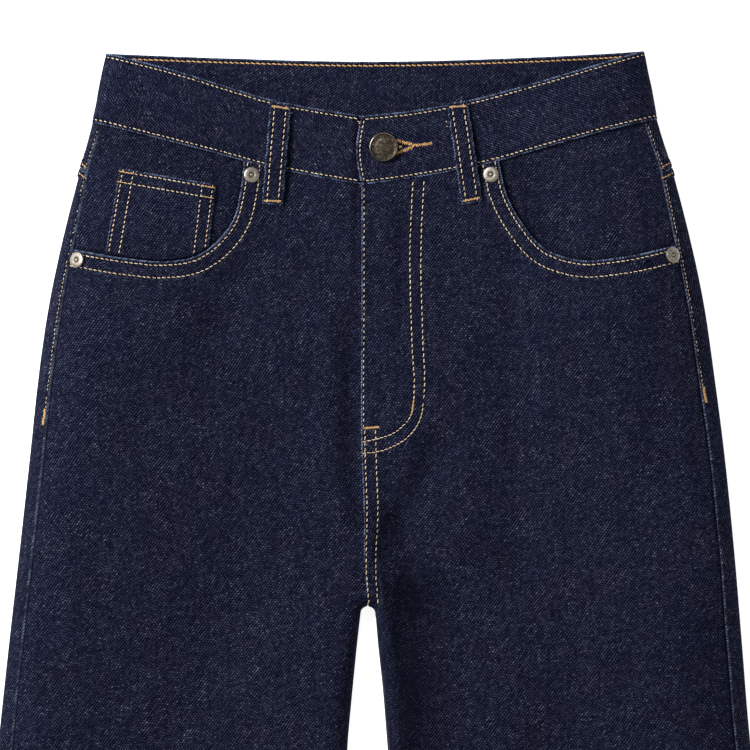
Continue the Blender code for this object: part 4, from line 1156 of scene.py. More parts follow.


# A thread's colours: a painted highlight for its middle, its colour at its edges, and painted shade for its
# ends and its twist's grooves.
Thread = namedtuple("Thread", "light middle dark")
CREAM = Thread((0.95, 0.79, 0.54), (0.52, 0.34, 0.16), (0.13, 0.065, 0.028))
AMBER = Thread((0.72, 0.43, 0.17), (0.47, 0.24, 0.080), (0.18, 0.08, 0.026))
THREAD_SHEEN = dict(Sheen_Weight=0.25, Sheen_Roughness=0.4)


def thread_material(name, thread):
    """Twisted sewing thread, with painted light across it, bright along its middle and darker at its edges,
    and painted shade at its ends, where it dives into the cloth, and in the grooves of its twist.
    """
    made, tree, shader = new_material(name, 0.55, Specular_IOR_Level=0.4, **THREAD_SHEEN)
    length, side, chance = attribute(tree, "thread", "Vector").split()
    end = length.maths("ABSOLUTE").maths("POWER", 3.0)
    ply = (length * 14.0 + side * 2.2).maths("SINE").remap(-1, 1)
    # painted highlight along the middle, then painted shade at the ends and in the twist's grooves
    colour = blend((side * side).remap(0.12, 0.85), thread.light, thread.middle)
    colour = blend(chance.remap(0.2, 1.0, 0.0, 0.55), colour, thread.middle)
    colour = blend(end.remap(0.25, 1.0, 0.0, 0.85), colour, thread.dark)
    colour = blend(ply.remap(0.0, 0.55, 0.38, 0.0), colour, thread.dark)
    attach(shader, Base_Color=colour, Normal=bump(ply, 0.6, 0.00012))
    return made


GLINT = (0.34, 0.30, 0.24)  # the colour of painted glints: the pale specks, and the painted highlight on the button's rim
# the brown of patina in hollows, also used as painted shade under the button and round the rivets' feet
PATINA_AND_PAINTED_SHADE = (0.030, 0.018, 0.010)
Metal = namedtuple("Metal", "bright dull roughness dull_share glints")
METALS = {
    "button_brass": Metal((0.092, 0.075, 0.055), (0.028, 0.022, 0.016), 0.42, 0.9, 0.55),
    "rivet_nickel": Metal((0.38, 0.345, 0.295), (0.20, 0.17, 0.13), 0.44, 0.5, 0.0),
}


def metal_material(name, metal):
    """Worn metal with patina in patches and brown in its hollows, with painted glints, a painted highlight on
    the button's rim, and painted shade under the button and round the rivets' feet.
    """
    made, tree, shader = new_material(name, metal.roughness, 1.0)
    where = node(tree, "TexCoord", {}, "Object")
    patch, fine, spots = (
        node(tree, "TexNoise", {"Vector": where, "Scale": scale, "Detail": detail, "Roughness": roughness})
        for scale, detail, roughness in ((420.0, 4.0, 0.65), (2600.0, 2.0, 0.6), (1150.0, 1.0, 0.5))
    )
    recess = attribute(tree, "recess")
    darkest = tuple(0.3 * part for part in metal.dull)
    colour = blend(patch.remap(0.38, 0.66, metal.dull_share, 0.0), metal.bright, metal.dull)
    colour = blend(fine.remap(0.62, 0.78, 0.0, 0.5), colour, metal.dull)
    colour = blend(spots.remap(0.30, 0.42, 0.85, 0.0), colour, darkest)
    # painted glints: pale specks
    colour = blend(spots.remap(0.58, 0.68, 0.0, metal.glints), colour, GLINT)
    # painted highlight where the value is below 0; brown patina of hollows and painted shade where it is above
    # 0
    colour = blend(recess.remap(-1.0, 0.0, 0.6, 0.0), colour, GLINT)
    colour = blend(recess, colour, PATINA_AND_PAINTED_SHADE)
    rough = patch.remap(0.3, 0.7, metal.roughness + 0.14, metal.roughness - 0.06) + recess * 0.3
    attach(shader, Base_Color=colour, Roughness=rough, Normal=bump(fine, 0.35, 0.0001))
    return made


MATERIALS = {
    "denim": denim_material(),
    "topstitch": thread_material("topstitch", CREAM),
    "bartack": thread_material("bartack", AMBER),
    **{name: metal_material(name, metal) for name, metal in METALS.items()},
}


# --------------------------------------------------------------------------------------------- panels

def turned_hem(drop):
    """How much thicker a wall is where its hem is turned up inside."""
    return CLOTH * ease((drop - LENGTH + HEM_TURN + STEP / 3) / (STEP / 3))


def make_front(side):
    """A front panel on the form of its solid."""
    xs, drops = front_plan(side)
    relief, wear, shade = seam_relief(FRONT_SEAMS[side], xs, drops)
    out = relief + front_soft(side, xs, drops)
    outer, inner = front_wall(xs, drops, out, CLOTH + relief + turned_hem(drops))
    on_leg = drops[:, -1] >= CROTCH - 1e-6
    for grid in (outer, inner):
        grid[on_leg, -1, 2] += CLOSE
    cloth = cloth_place(outer, drops, INWARD[side], fixed=xs.shape[1] // 2)
    wall_piece("front_" + side, outer, inner, cloth, wear, darkened(shade, xs, drops))


YOKE_TUCK = 0.0010  # how far the strip of a yoke that shows reaches under the waistband
CALM_RUN = 0.006  # run over which waves fade out towards an edge


def make_back_piece(name, side, rails):
    """A yoke or a back panel: its flat underside, the fold at its side, and the strip up to the outseam."""
    under, top = back_plan(side, *rails)
    if name.startswith("yoke"):
        under[0, :, 1] = band_low_drop(BAND_BACK, under[0, :, 0]) + SEAM
        top[0, :, 1] -= YOKE_TUCK
    grids, marks = [], []
    for plan, wall_at, below in ((under, back_wall, True), (top, front_wall, False)):
        xs, drops = plan[..., 0], plan[..., 1]
        relief, wear, shade = back_relief(side, xs, drops, below)
        from_fold = np.abs(xs - outline_x(side, drops))
        soft = 0.0 if below else waves(xs, drops) * np.clip(from_fold / CALM_RUN, 0, 1)
        if name.startswith("yoke") and not below:
            soft[0] -= YOKE_TUCK / 2
        grids.append(wall_at(xs, drops, relief + soft, CLOTH + relief + turned_hem(drops)))
        marks.append((wear, shade, drops))
    outer, inner = (np.concatenate(pair, axis=1) for pair in zip(*grids))
    wear, shade, drops = (np.concatenate(pair, axis=1) for pair in zip(*marks))
    on_leg = rails[0] >= CROTCH - 1e-6
    for grid in (outer, inner):
        grid[on_leg, 0, 2] -= CLOSE
    cloth = cloth_place(outer, drops, INWARD[side], fixed=0)
    wall_piece(name, outer, inner, cloth, wear, shade)


def yoke_rails(side):
    band = FRONT_BANDS[side][0]
    share = runs((0, 0.80, 0.10), (0.80, 0.90, 0.02), (0.90, 1.0, 0.025))
    tops = (BAND_BACK[2].low_drop, band.low_drop, band.low_drop + 0.0030)
    feet = (YOKE_AT_CENTRE, YOKE_AT_SIDE, YOKE_AT_OUTSEAM)
    return [top + SEAM + share * (foot - top - 2 * SEAM) for top, foot in zip(tops, feet)]


def back_rails():
    """Rows of a back panel: from the yoke's slanted seam they level out on the way to the seat."""
    levels = leg_drops(0.221)
    seat = runs((0, 0.060, 0.007), (0.060, 1.0, 0.055))[:-1]
    tops = (YOKE_AT_CENTRE, YOKE_AT_SIDE, YOKE_AT_OUTSEAM)
    return [np.concatenate([top + seat * (levels[0] - top), levels]) for top in tops]


FACING_SINK = 0.0009  # how much lower than its solid a facing lies along the opening
FACING_RISE = 0.0013  # how much higher it lies where it is sewn to the outseam
FACING_RISE_RUN = 0.0045
FACING_TOP = 0.049  # drop of its top corner at the outseam
FACING_SHARE = 0.93  # how much of the scooped edge it reaches along
POCKET_MOUTH = 0.010


def facing_out(side, x, drop):
    """A facing's place below the front, sunk along the scooped edge, with its own soft folds."""
    near = nearest_on(SCOOP_LINES[side], x, drop)[0]
    at_band = np.clip((drop - band_low_drop(FRONT_BANDS[side], x)) / CALM_RUN, 0, 1)
    sink = FACING_SINK * bell(near, POCKET_MOUTH) * at_band
    sink = sink - FACING_RISE * bell(x - outseam_x(side, drop), FACING_RISE_RUN)
    soft = 1.2 * waves(x + 0.031, drop * 1.3)  # waves of its own, unlike the front's
    return -(CLOTH + LAY) - sink + soft * at_band


def mouth_shade(side, x, drop):
    """How much painted shade the cloth in a pocket's mouth gets beside the scooped edge."""
    return CREVICE * bell(nearest_on(SCOOP_LINES[side], x, drop)[0], CREVICE_WIDTH)


SCOOP_LINES = {side: line_of(scoop_rows(side)) for side in BOTH}


def make_facing(side):
    """The cloth seen inside a scooped pocket, which hangs from the waistband and passes under the front."""
    scoop = scoop_rows(side)
    sign = -INWARD[side]
    across = np.linspace(0, 1, 56) ** 1.2
    share = 1 - across * FACING_SHARE
    scoop_x, scoop_drop = along(scoop, share)
    ahead_x, ahead_drop = along(scoop, np.clip(share + 0.01, 0, 1))
    behind_x, behind_drop = along(scoop, np.clip(share - 0.01, 0, 1))
    run_x, run_drop = ahead_x - behind_x, ahead_drop - behind_drop
    length = np.hypot(run_x, run_drop)
    low_x = scoop_x - sign * FACING_UNDER * run_drop / length
    low_drop = scoop_drop + sign * FACING_UNDER * run_x / length
    low_x[0] = outseam_x(side, low_drop[0]) - sign * SEAM
    start = outseam_x(side, FACING_TOP) - sign * SEAM
    top_x = start + across * (scoop[0].x - sign * 0.018 - start)
    top_drop = band_low_drop(FRONT_BANDS[side], top_x) + SEAM
    down = np.linspace(0, 1, 48)[:, None]
    xs = top_x + down * (low_x - top_x)
    drops = top_drop + down * (low_drop - top_drop)
    xs[:, 0] = outseam_x(side, drops[:, 0]) - sign * SEAM
    outer, inner = front_wall(xs, drops, facing_out(side, xs, drops))
    blank = np.zeros_like(xs)
    mouth = mouth_shade(side, xs, drops)
    wall_piece("facing_" + side, outer, inner, together(xs, drops), blank, darkened(mouth, xs, drops))


def coin_point(across, down):
    """A plan point of the coin pocket at shares across it and down it."""
    top = [COIN_TOP[0][i] + across * (COIN_TOP[1][i] - COIN_TOP[0][i]) for i in (0, 1)]
    low_x = COIN_LOW[0].x + across * (COIN_LOW[1].x - COIN_LOW[0].x)
    edge = SCOOP_LINES["right"][::-1]
    low_drop = np.interp(low_x, edge[:, 0], edge[:, 1]) - COIN_CLEAR
    return top[0] + down * (low_x - top[0]), top[1] + down * (low_drop - top[1])


def coin_seams():
    across = np.linspace(0, 1, 40)
    left, right = (together(*coin_point(np.full(40, share), across)) for share in (0.0, 1.0))
    top = together(*coin_point(across, np.zeros(40)))
    sides = [Seam(line, COIN_STITCH, hem=0.0105, rise=0.0003, worn=0.55) for line in (left, right)]
    return sides + [Seam(top, COIN_STITCH, hem=0.0108, rise=0.0006, worn=0.8)]


def coin_out(x, drop):
    """Height of the coin pocket over the front's plain surface, relief apart."""
    return facing_out("right", x, drop) + LAY / 2 + PATCH_CLOTH


def make_coin_pocket():
    """The small patch pocket on the right facing, cut off where it runs in under the scooped edge."""
    edge = runs((0, 0.0012, 0.0003), (0.0012, 0.0036, 0.0006), (0.0036, 0.0078, 0.0014),
                (0.0078, 0.0120, 0.0005))
    width, height = COIN_SIZE
    across = fine_at_both_ends(edge / width, 26)
    down = np.concatenate([edge / height, np.linspace(edge[-1] / height, 1, 26)[1:]])
    xs, drops = coin_point(*np.meshgrid(across, down))
    relief, wear, shade = seam_relief(coin_seams(), xs, drops)
    under = facing_out("right", xs, drops) + LAY / 4
    out = coin_out(xs, drops) + relief
    outer, inner = front_wall(xs, drops, out, out - under)
    shade = 1 - (1 - shade) * (1 - mouth_shade("right", xs, drops))
    wall_piece("coin_pocket", outer, inner, together(xs, drops), wear, shade)


# ------------------------------------------------------------------------------------------ waistband

BAND_DEEP = 0.0445  # from its low edge to its top edge, for spacing its rows
BAND_LEFT_LENGTH = 0.182  # of the front's left part, for spacing its columns
BAND_ROWS = runs((0, 0.0008, 0.0002), (0.0008, 0.0016, 0.0004), (0.0016, 0.0032, 0.0004),
                 (0.0032, 0.0060, 0.0014))
BAND_BOW = 0.0034  # how far the middle of the overlap's end stands out towards the wearer's right
BAND_BOW_RUN = 0.020


def band_point(rows, share, across):
    """Plan point of the waistband on the front or the back, at shares along its table and up its depth."""
    top_x, top_drop, low_x, low_drop = along(rows, share)
    x = low_x + across * (top_x - low_x)
    drop = low_drop + across * (top_drop - low_drop)
    if rows is BAND_LEFT:
        near_end = ease((BAND_BOW_RUN - x + BAND_LEFT[-1].low_x) / BAND_BOW_RUN)
        x = x - BAND_BOW * np.sin(np.pi * across) * near_end
    return x, drop


def band_soft(x, drop):
    return 0.8 * waves(x * 1.4, drop * 1.4)


def make_waistband():
    """One strip, from the right end under the overlap, round by the right side, back and left side."""
    turn = 1 - np.cos(np.linspace(0, math.pi / 2, 13))
    over = runs((0.085, 0.745, 0.0085), (0.745, 0.800, 0.004), (0.800, 1.0, 0.02))
    right = np.concatenate([turn[:-1] * 0.085, over])[::-1]
    back = np.concatenate([turn[:-1] * 0.05, np.linspace(0.05, 0.915, 90), 1 - turn[::-1][1:] * 0.085])
    end = runs((0, 0.0009, 0.0003), (0.0009, 0.0034, 0.0005), (0.0034, 0.0200, 0.0016))
    end = 1 - end[::-1] / BAND_LEFT_LENGTH
    left = np.concatenate([turn[:-1] * 0.16, np.linspace(0.16, end[0], 78)[:-1], end])
    across = fine_at_both_ends(BAND_ROWS / BAND_DEEP, 20)[:, None]
    sunk = (BAND_CLOTH + LAY) * ease((right - UNDERLAP[0]) / (UNDERLAP[1] - UNDERLAP[0]))
    up, below_top = across * BAND_DEEP, (1 - across) * BAND_DEEP
    grids = []
    for rows, shares, wall_at, depth in (
        (BAND_RIGHT, right, front_wall, sunk),
        (BAND_BACK, back, back_wall, 0.0),
        (BAND_LEFT, left, front_wall, 0.0),
    ):
        xs, drops = band_point(rows, shares, across)
        proud = (BAND_PROUD * rounding(xs, drops)[1] + band_soft(xs, drops)) if wall_at is front_wall else 0.0
        roll = rolled(up) + rolled(below_top)
        groove = bell(up - BAND_STITCH[0], GROOVE) + bell(below_top - BAND_STITCH[1], GROOVE)
        groove = groove + np.zeros_like(xs)
        edge = np.maximum(bell(up, WORN_WIDTH), 0.9 * bell(below_top, WORN_WIDTH)) + np.zeros_like(xs)
        if rows is BAND_LEFT:
            from_end = (1 - shares) * BAND_LEFT_LENGTH + 0 * across
            roll = np.maximum(roll, rolled(from_end))
            groove = np.maximum(groove, bell(from_end - BAND_STITCH[0], GROOVE))
            edge = np.maximum(edge, bell(from_end, WORN_WIDTH))
        puckers = PUCKER * sum(np.sin(2 * math.pi * xs / length) for length in PUCKER_LENGTHS)
        puckers = puckers * (bell(up, 0.006) + bell(below_top, 0.006))
        relief = puckers - roll - GROOVE_DEPTH * groove
        if wall_at is back_wall:
            relief = np.minimum(relief, 0)
        outer, inner = wall_at(xs, drops, proud - depth + relief, BAND_CLOTH - roll + relief)
        shade = GROOVE_SHADE * groove
        grids.append((outer, inner, edge, darkened(shade, xs, drops) if wall_at is front_wall else shade))
    outer, inner, wear, shade = (np.concatenate(parts, axis=1) for parts in zip(*grids))
    middle = outer[len(outer) // 2]
    strip = lengths(middle)
    cloth = together((1 - across) * BAND_DEEP + 0 * strip, strip + 0 * across)
    wall_piece("waistband", outer, inner, cloth, wear, shade, inside=0.0)


# ---------------------------------------------------------------------------------------- belt loops

def loop_ends(loop):
    """The ends of a loop's middle line, in plan."""
    return np.array([[loop.top_x, loop.top_drop], [loop.low_x, loop.low_drop]])


def loop_run(loop):
    """A loop's length and the way down it."""
    top, low = loop_ends(loop)
    length = np.linalg.norm(low - top)
    return length, (low - top) / length


def loop_frame(loop, x, drop):
    """Shares of the way down a loop, and the distance across it, of plan points."""
    length, run = loop_run(loop)
    off_x, off_drop = x - loop.top_x, drop - loop.top_drop
    return (off_x * run[0] + off_drop * run[1]) / length, off_x * run[1] - off_drop * run[0]


LOOP_CLOTH = 0.0017  # a loop's turned layers
LOOP_SEATED = 0.0002
LOOP_STANDS = 0.0016  # how far a loop's middle stands off the waistband
LOOP_CROWN = 0.00025  # how much higher its middle line is than its edges
LOOP_PRESSED = 0.0003  # how far the bartacks press its ends down
LOOP_STEPS = np.array([0.0, 0.2, 0.5, 0.8, 1.3, 1.9, 2.4, 2.9, 3.4, 3.9, 5.0]) * 0.001  # in from its edge
LOOP_ENDS = np.array([0, 0.004, 0.009, 0.016])  # shares of its length, close together at its ends
LOOP_TACK = 0.045  # run of a bartack's press, as a share of its length


def loop_out(loop, side, x, drop):
    """Height of a loop's outer face over the front's plain surface: low at its sewn ends, high between."""
    down, across = loop_frame(loop, x, drop)
    low = band_low_drop(FRONT_BANDS[side], x)
    on_band = 1 - ease((drop - low + 0.001) / 0.010)
    arch = LOOP_STANDS * np.clip(np.sin(np.pi * np.clip((down - 0.05) / 0.90, 0, 1)), 0, 1) ** 0.7
    ends = LOOP_PRESSED * (bell(down, LOOP_TACK) + bell(1 - down, LOOP_TACK))
    crown = LOOP_CROWN * np.cos(np.clip(across / (LOOP_WIDTH / 2), -1, 1) * math.pi / 2) - ends
    return (BAND_PROUD + band_soft(x, drop)) * on_band + LOOP_SEATED + LOOP_CLOTH + arch + crown


def make_front_loop(loop, side):
    """A belt loop over the waistband, sewn down at its two ends."""
    half = LOOP_WIDTH / 2
    steps = np.concatenate([LOOP_STEPS - half, [0.0], half - LOOP_STEPS[::-1]])
    down = np.concatenate([LOOP_ENDS, np.linspace(0.025, 0.975, 60), 1 - LOOP_ENDS[::-1]])[:, None]
    length, run = loop_run(loop)
    fray = 0.00022 * np.sin(down * 61) + 0.00016 * np.sin(down * 23 + 1)
    width = steps[None] * (1 + fray / half)
    xs = loop.top_x + down * length * run[0] + width * run[1]
    drops = loop.top_drop + down * length * run[1] - width * run[0]
    edge = half - np.abs(steps)[None] + 0 * down
    end = np.minimum(down, 1 - down) * length + 0 * edge
    groove = bell(np.abs(steps)[None] - LOOP_STITCH, GROOVE) + 0 * down
    roll = np.maximum(rolled(edge), rolled(end))
    relief = -roll - GROOVE_DEPTH * groove
    wear = np.maximum(0.85 * bell(edge, 0.0007), bell(end, 0.0007))
    outer, inner = front_wall(xs, drops, loop_out(loop, side, xs, drops) + relief, LOOP_CLOTH + relief)
    cloth = together(steps[None] + 0 * down, down * length + 0 * edge)
    shade = GROOVE_SHADE * groove
    wall_piece(loop.name, outer, inner, cloth, wear, shade, inside=0.0)


def flat_patch(node_name, levels, outline, seams):
    """A patch that lies on the surface under the back: a grid between the two sides of its outline.
    outline gives its left and right x at each of the levels."""
    left, right = outline(levels)
    across = fine_at_both_ends(EDGE_SHARES, 18)[None]
    xs = left[:, None] + across * (right - left)[:, None]
    drops = levels[:, None] + 0 * xs
    relief, wear, shade = seam_relief(seams, xs, drops)
    outer = together(xs, TOP_Y - drops, -np.minimum(relief, 0))
    inner = outer.copy()
    inner[..., 2] = PATCH_CLOTH
    wall_piece(node_name, outer, inner, together(-xs, drops), wear, shade)


EDGE_SHARES = np.array([0.0, 0.004, 0.010, 0.020, 0.030, 0.045, 0.065, 0.085, 0.110])


def pocket_centre(side):
    return CENTRE_BACK - INWARD[side] * POCKET_CENTRE


def make_back_pocket(side):
    """A back patch pocket, pointed at its foot, with a hemmed mouth and two rows round it."""
    centre = pocket_centre(side)
    top, corner, point = POCKET_DROPS
    rows = runs((top, top + 0.016, 0.0008), (top + 0.016, corner - 0.004, 0.006),
                (corner - 0.004, point, 0.0012))

    def outline(drops):
        half = np.interp(drops, [top, corner, point], [POCKET_HALF_TOP, POCKET_HALF_FOOT, 0.0012])
        return centre - half, centre + half

    line = POCKET_LINES[side]
    mouth = Seam(line[[0, -1]], (POCKET_HEM,), worn=0.6)
    round_it = Seam(line, POCKET_STITCH, worn=0.5)
    flat_patch("back_pocket_" + side, rows, outline, [mouth, round_it])


POCKET_STITCH = (0.0018, 0.0080)
POCKET_HEM = 0.0120  # depth of the row along the mouth's hem


def pocket_line(side):
    """A back pocket's two sides and foot, in plan, from one top corner to the other."""
    centre = pocket_centre(side)
    top, corner, point = POCKET_DROPS
    return np.array([[centre - POCKET_HALF_TOP, top], [centre - POCKET_HALF_FOOT, corner], [centre, point],
                     [centre + POCKET_HALF_FOOT, corner], [centre + POCKET_HALF_TOP, top]])


POCKET_LINES = {side: pocket_line(side) for side in BOTH}


def make_back_loop(loop):
    """A belt loop under the back, pressed flat by the garment that lies on it."""
    top, low = loop.top_drop, loop.low_drop
    rows = runs((top, top + 0.002, 0.0004), (top + 0.002, low - 0.002, 0.003), (low - 0.002, low, 0.0004))

    def outline(drops):
        middle = np.interp(drops, [top, low], [loop.top_x, loop.low_x])
        return middle - LOOP_WIDTH / 2, middle + LOOP_WIDTH / 2

    flat_patch(loop.name, rows, outline, [Seam(loop_ends(loop), (LOOP_STITCH,))])


# ------------------------------------------------------------------------------------------ sewing

RING_PLACES = (-1.0, -0.72, 0.0, 0.72, 1.0)  # rings along a stitch, as shares of its half length
RING_SIZES = (0.42, 0.90, 1.0, 0.90, 0.42)
RING_SIDES = 6
FLATNESS = 0.62  # a stitch's height over its width
DIVE = 0.00022  # how far a stitch's ends sink
SLANT = math.radians(9)
LOOSE = 0.00005  # how far stitches stray from their row, as a standard deviation
NEAR = 0.0003  # how far off the points that give a surface's slopes are read
NEAR_ON_LINE = 0.0004  # the same along a line
SEWN = {}  # points of all stitches, by the piece they are sewn to and their thread


def frames_on(host, up, plan, ways):
    """Points on a surface, with the directions along each way, across it and out of the cloth."""
    side = together(-ways[:, 1], ways[:, 0])
    points = host(*plan.T)
    run = host(*(plan + NEAR * ways).T) - host(*(plan - NEAR * ways).T)
    lateral = host(*(plan + NEAR * side).T) - host(*(plan - NEAR * side).T)
    run, out = unit(run), unit(up * np.cross(lateral, run))
    return points, run, np.cross(run, out), out


def add_stitches(piece, thread, host, up, plan, ways, length=STITCH_LENGTH, width=THREAD, slant=SLANT,
                 raised=0.38, dive=DIVE, flatness=FLATNESS):
    """Stitches at plan points, each a flattened capsule of thread whose ends dive into the cloth."""
    plan, ways = np.asarray(plan, float), unit(np.asarray(ways, float))
    count = len(plan)
    points, run, lateral, out = frames_on(host, up, plan, ways)
    chance = CHANCE.random((count, 4))
    angle = (slant * (0.8 + 0.4 * chance[:, 0]) + 0.06 * (chance[:, 1] - 0.5))[:, None]
    cos, sin = np.cos(angle), np.sin(angle)
    run, lateral = run * cos + lateral * sin, lateral * cos - run * sin
    half = (length * (0.94 + 0.12 * chance[:, 2]) / 2)[:, None, None, None]
    places = np.array(RING_PLACES)[None, :, None, None]
    sizes = np.array(RING_SIZES)[None, :, None, None]
    turns = np.linspace(0, 2 * math.pi, RING_SIDES, endpoint=False)[None, None, :, None]
    grow = (width * (0.92 + 0.16 * chance[:, 3]))[:, None, None, None]
    wide, high = np.cos(turns) * sizes * grow, np.sin(turns) * sizes * grow * flatness
    lift = raised * grow * flatness - dive * places ** 2

    def spread(vectors):
        return vectors[:, None, None, :]

    made = spread(points) + spread(run) * places * half + spread(lateral) * wide + spread(out) * (high + lift)
    marks = together(places[..., 0], np.cos(turns[..., 0]), chance[:, 0][:, None, None])
    SEWN.setdefault((piece, thread), []).append((made.reshape(count, -1, 3), marks.reshape(count, -1, 3)))


def capsule_quads():
    """Quads of one stitch: its rings, and two across each end."""
    rings = len(RING_PLACES)
    first = np.array([[0, 3, 2, 1], [0, 5, 4, 3]])
    last = np.array([[0, 1, 2, 3], [0, 3, 4, 5]]) + (rings - 1) * RING_SIDES
    return np.concatenate([ring_quads(rings, RING_SIDES), first, last])


def make_sewing():
    """Joins all stitches of one thread on one piece into a mesh that goes with the piece."""
    template = capsule_quads()
    per_stitch = len(RING_PLACES) * RING_SIDES
    for (piece, thread), parts in SEWN.items():
        points = np.concatenate([part[0] for part in parts])
        marks = np.concatenate([part[1] for part in parts])
        quads = (template[None] + per_stitch * np.arange(len(points))[:, None, None]).reshape(-1, 4)
        if signed_volume(points.reshape(-1, 3)[:per_stitch] - points[0].mean(axis=0), template) < 0:
            quads = quads[:, ::-1]
        name = thread + "_" + piece.removeprefix("denim_")
        mesh = mesh_of(name, points.reshape(-1, 3), quads, {"thread": marks.reshape(-1, 3)})
        obj = add_piece(name, mesh, thread)
        STITCHED.setdefault(piece, []).append(obj)


STITCHED = {}  # the stitches that go with each cloth piece


def places_on(line, spacing, start=0.0, end=None):
    """Evenly spaced points along a line in plan, with the way it runs there."""
    length = lengths(line)
    end = length[-1] if end is None else end
    count = max(int(round((end - start) / spacing)), 1)
    at = start + (np.arange(count) + 0.5) * (end - start) / count

    def read(places):
        return together(np.interp(places, length, line[:, 0]), np.interp(places, length, line[:, 1]))

    return read(at), unit(read(at + NEAR_ON_LINE) - read(at - NEAR_ON_LINE))


def sew(piece, host, line, up=1, thread="topstitch", pitch=STITCH_PITCH, start=0.0, end=None, **form):
    """A row of topstitching along a line in plan."""
    plan, ways = places_on(line, pitch, start, end)
    jitter = CHANCE.normal(0, LOOSE, plan.shape)
    add_stitches(piece, thread, host, up, plan + jitter, ways, **form)


TACK_PITCH = 0.00044
TACKED = dict(width=0.00027, slant=0.0, raised=1.3, dive=0.00042, flatness=0.9)


def tack(piece, host, start, end, width=0.0017, pitch=TACK_PITCH, lean=0.22, loose=0.00008):
    """A bartack: close strokes across a short line, leaning to and fro."""
    line = np.array([start, end], float)
    plan, ways = places_on(line, pitch)
    across = together(-ways[:, 1], ways[:, 0])
    leans = lean * np.where(np.arange(len(plan)) % 2, 1, -1)[:, None]
    jitter = CHANCE.normal(0, loose, plan.shape)
    add_stitches(piece, "bartack", host, 1, plan + jitter, across + leans * ways, length=width, **TACKED)


def strands(piece, host, thread, ends, width=0.00026):
    """Single strands of thread, each between two points in plan."""
    for start, end in np.array(ends):
        run = end - start
        length = float(np.linalg.norm(run))
        add_stitches(piece, thread, host, 1, [(start + end) / 2], [run], length, width, slant=0.0, raised=1.0)


CHANCE = np.random.default_rng(7)


def host_front(side):
    def host(x, drop):
        relief = seam_relief(FRONT_SEAMS[side], x, drop)[0]
        return front_wall(x, drop, relief + front_soft(side, x, drop))[0]
    return host


def host_back(side, under):
    def host(x, drop):
        relief = back_relief(side, x, drop, under)[0]
        return (back_wall if under else front_wall)(x, drop, relief)[0]
    return host


def host_band(x, drop):
    proud = BAND_PROUD * rounding(x, drop)[1] + band_soft(x, drop) - GROOVE_DEPTH
    return front_wall(x, drop, proud)[0]


def host_band_under(x, drop):
    return back_wall(x, drop, -GROOVE_DEPTH + 0 * x)[0]


def host_band_inside(x, drop):
    """The inner face of the band's back, seen through the waist."""
    return back_wall(x, drop, 0 * x, BAND_CLOTH)[1]


def host_coin(x, drop):
    return front_wall(x, drop, coin_out(x, drop) + seam_relief(COIN_SEAMS, x, drop)[0])[0]


COIN_SEAMS = coin_seams()


def host_patch(x, drop):
    return together(x, TOP_Y - drop, GROOVE_DEPTH + 0 * x)


def host_loop(loop, side):
    def host(x, drop):
        return front_wall(x, drop, loop_out(loop, side, x, drop) - GROOVE_DEPTH)[0]
    return host


def level_line(rows, distance_in, from_top, start, end):
    """A line along the waistband, at a distance in from one of its edges."""
    share = distance_in / BAND_DEEP
    return together(*band_point(rows, np.linspace(start, end, 200), 1 - share if from_top else share))


def hem_row(side, inner, inset):
    """The row round a leg's hem, from a distance in from its outer edge to its inner edge's x."""
    outer_x = float(outline_x(side, LENGTH)) + INWARD[side] * inset
    return np.array([[outer_x, LENGTH - HEM_STITCH], [-INWARD[side] * inner, LENGTH - HEM_STITCH]])


def sew_front(side):
    piece, host = "denim_front_" + side, host_front(side)
    sign = INWARD[side]
    scoop = line_of(scoop_rows(side), 160)
    for distance in SCOOP_STITCH:
        sew(piece, host, beside(scoop, distance, sign), **SCOOPED)
    sew(piece, host, hem_row(side, 0.0165, 0.010))
    if side == "left":
        sew(piece, host, beside(fly_edge_line(0.0862, RISE_FROM), FLY_STITCH, 1), **FLY_SEWN)
        for row in (line_of(FLY_INNER), line_of(FLY_OUTER)):
            straight = row[:, 1] < FLY_CURVE
            sew(piece, host, row[straight], **LONG)
            sew(piece, host, row[~straight], **FLY_CURVED)
        for offsets in RISE_OFFSETS:
            sew(piece, host, rise_line(offsets), **LONG)
        plan, ways = places_on(np.array(FLY_BACKTACK), 0.0021)
        add_stitches(piece, "bartack", host, 1, plan, ways, **BACKTACKED)
        tack(piece, host, *FLY_BAR)
        strands(piece, host, "bartack", FLY_ENDS, width=0.00034)


def sew_back(side):
    sign = INWARD[side]
    piece, yoke = "denim_back_" + side, "denim_yoke_" + side
    top, below = host_back(side, False), host_back(side, True)
    start, end = OUTSEAM_TACK[side]
    seam = beside(outseam_line(side, 0.0480, start), OUTSEAM_STITCH, -sign)
    on_yoke = seam[:, 1] < YOKE_AT_OUTSEAM - 0.001
    sew(yoke, top, seam[on_yoke], raised=OUTSEAM_RAISED[side], **THIN)
    sew(piece, top, seam[seam[:, 1] > YOKE_AT_OUTSEAM + 0.001], raised=OUTSEAM_RAISED[side], **THIN)
    ends = beside(outseam_line(side, start, end), OUTSEAM_TACK_IN, -sign)
    tack(piece, top, ends[0], ends[-1], OUTSEAM_TACK_WIDTH)
    for under, host in ((False, top), (True, below)):
        line = yoke_line(side, under)
        for name, way in ((yoke, -1), (piece, 1)):
            row = line + np.array([0.0, way * YOKE_STITCH])
            if under:
                sew(name, host, row, up=-1, start=0.0016)
            else:
                sew(name, host, row, **YOKE_SEWN)
    sew(piece, below, hem_row(side, 0.018, 0.008)[::-1], **UNDER)
    if side == "left":
        for distance in RISE_STITCH:
            row = together(CENTRE_BACK + distance, [YOKE_AT_CENTRE + 0.005, CROTCH - 0.004])
            sew(piece, below, row, **UNDER)
    pocket = "denim_back_pocket_" + side
    for distance in POCKET_STITCH:
        sew(pocket, host_patch, beside(POCKET_LINES[side], distance, -1), **UNDER)
    corners = POCKET_LINES[side][[0, -1]]
    sew(pocket, host_patch, corners + np.array([[0.002, POCKET_HEM], [-0.002, POCKET_HEM]]), **UNDER)


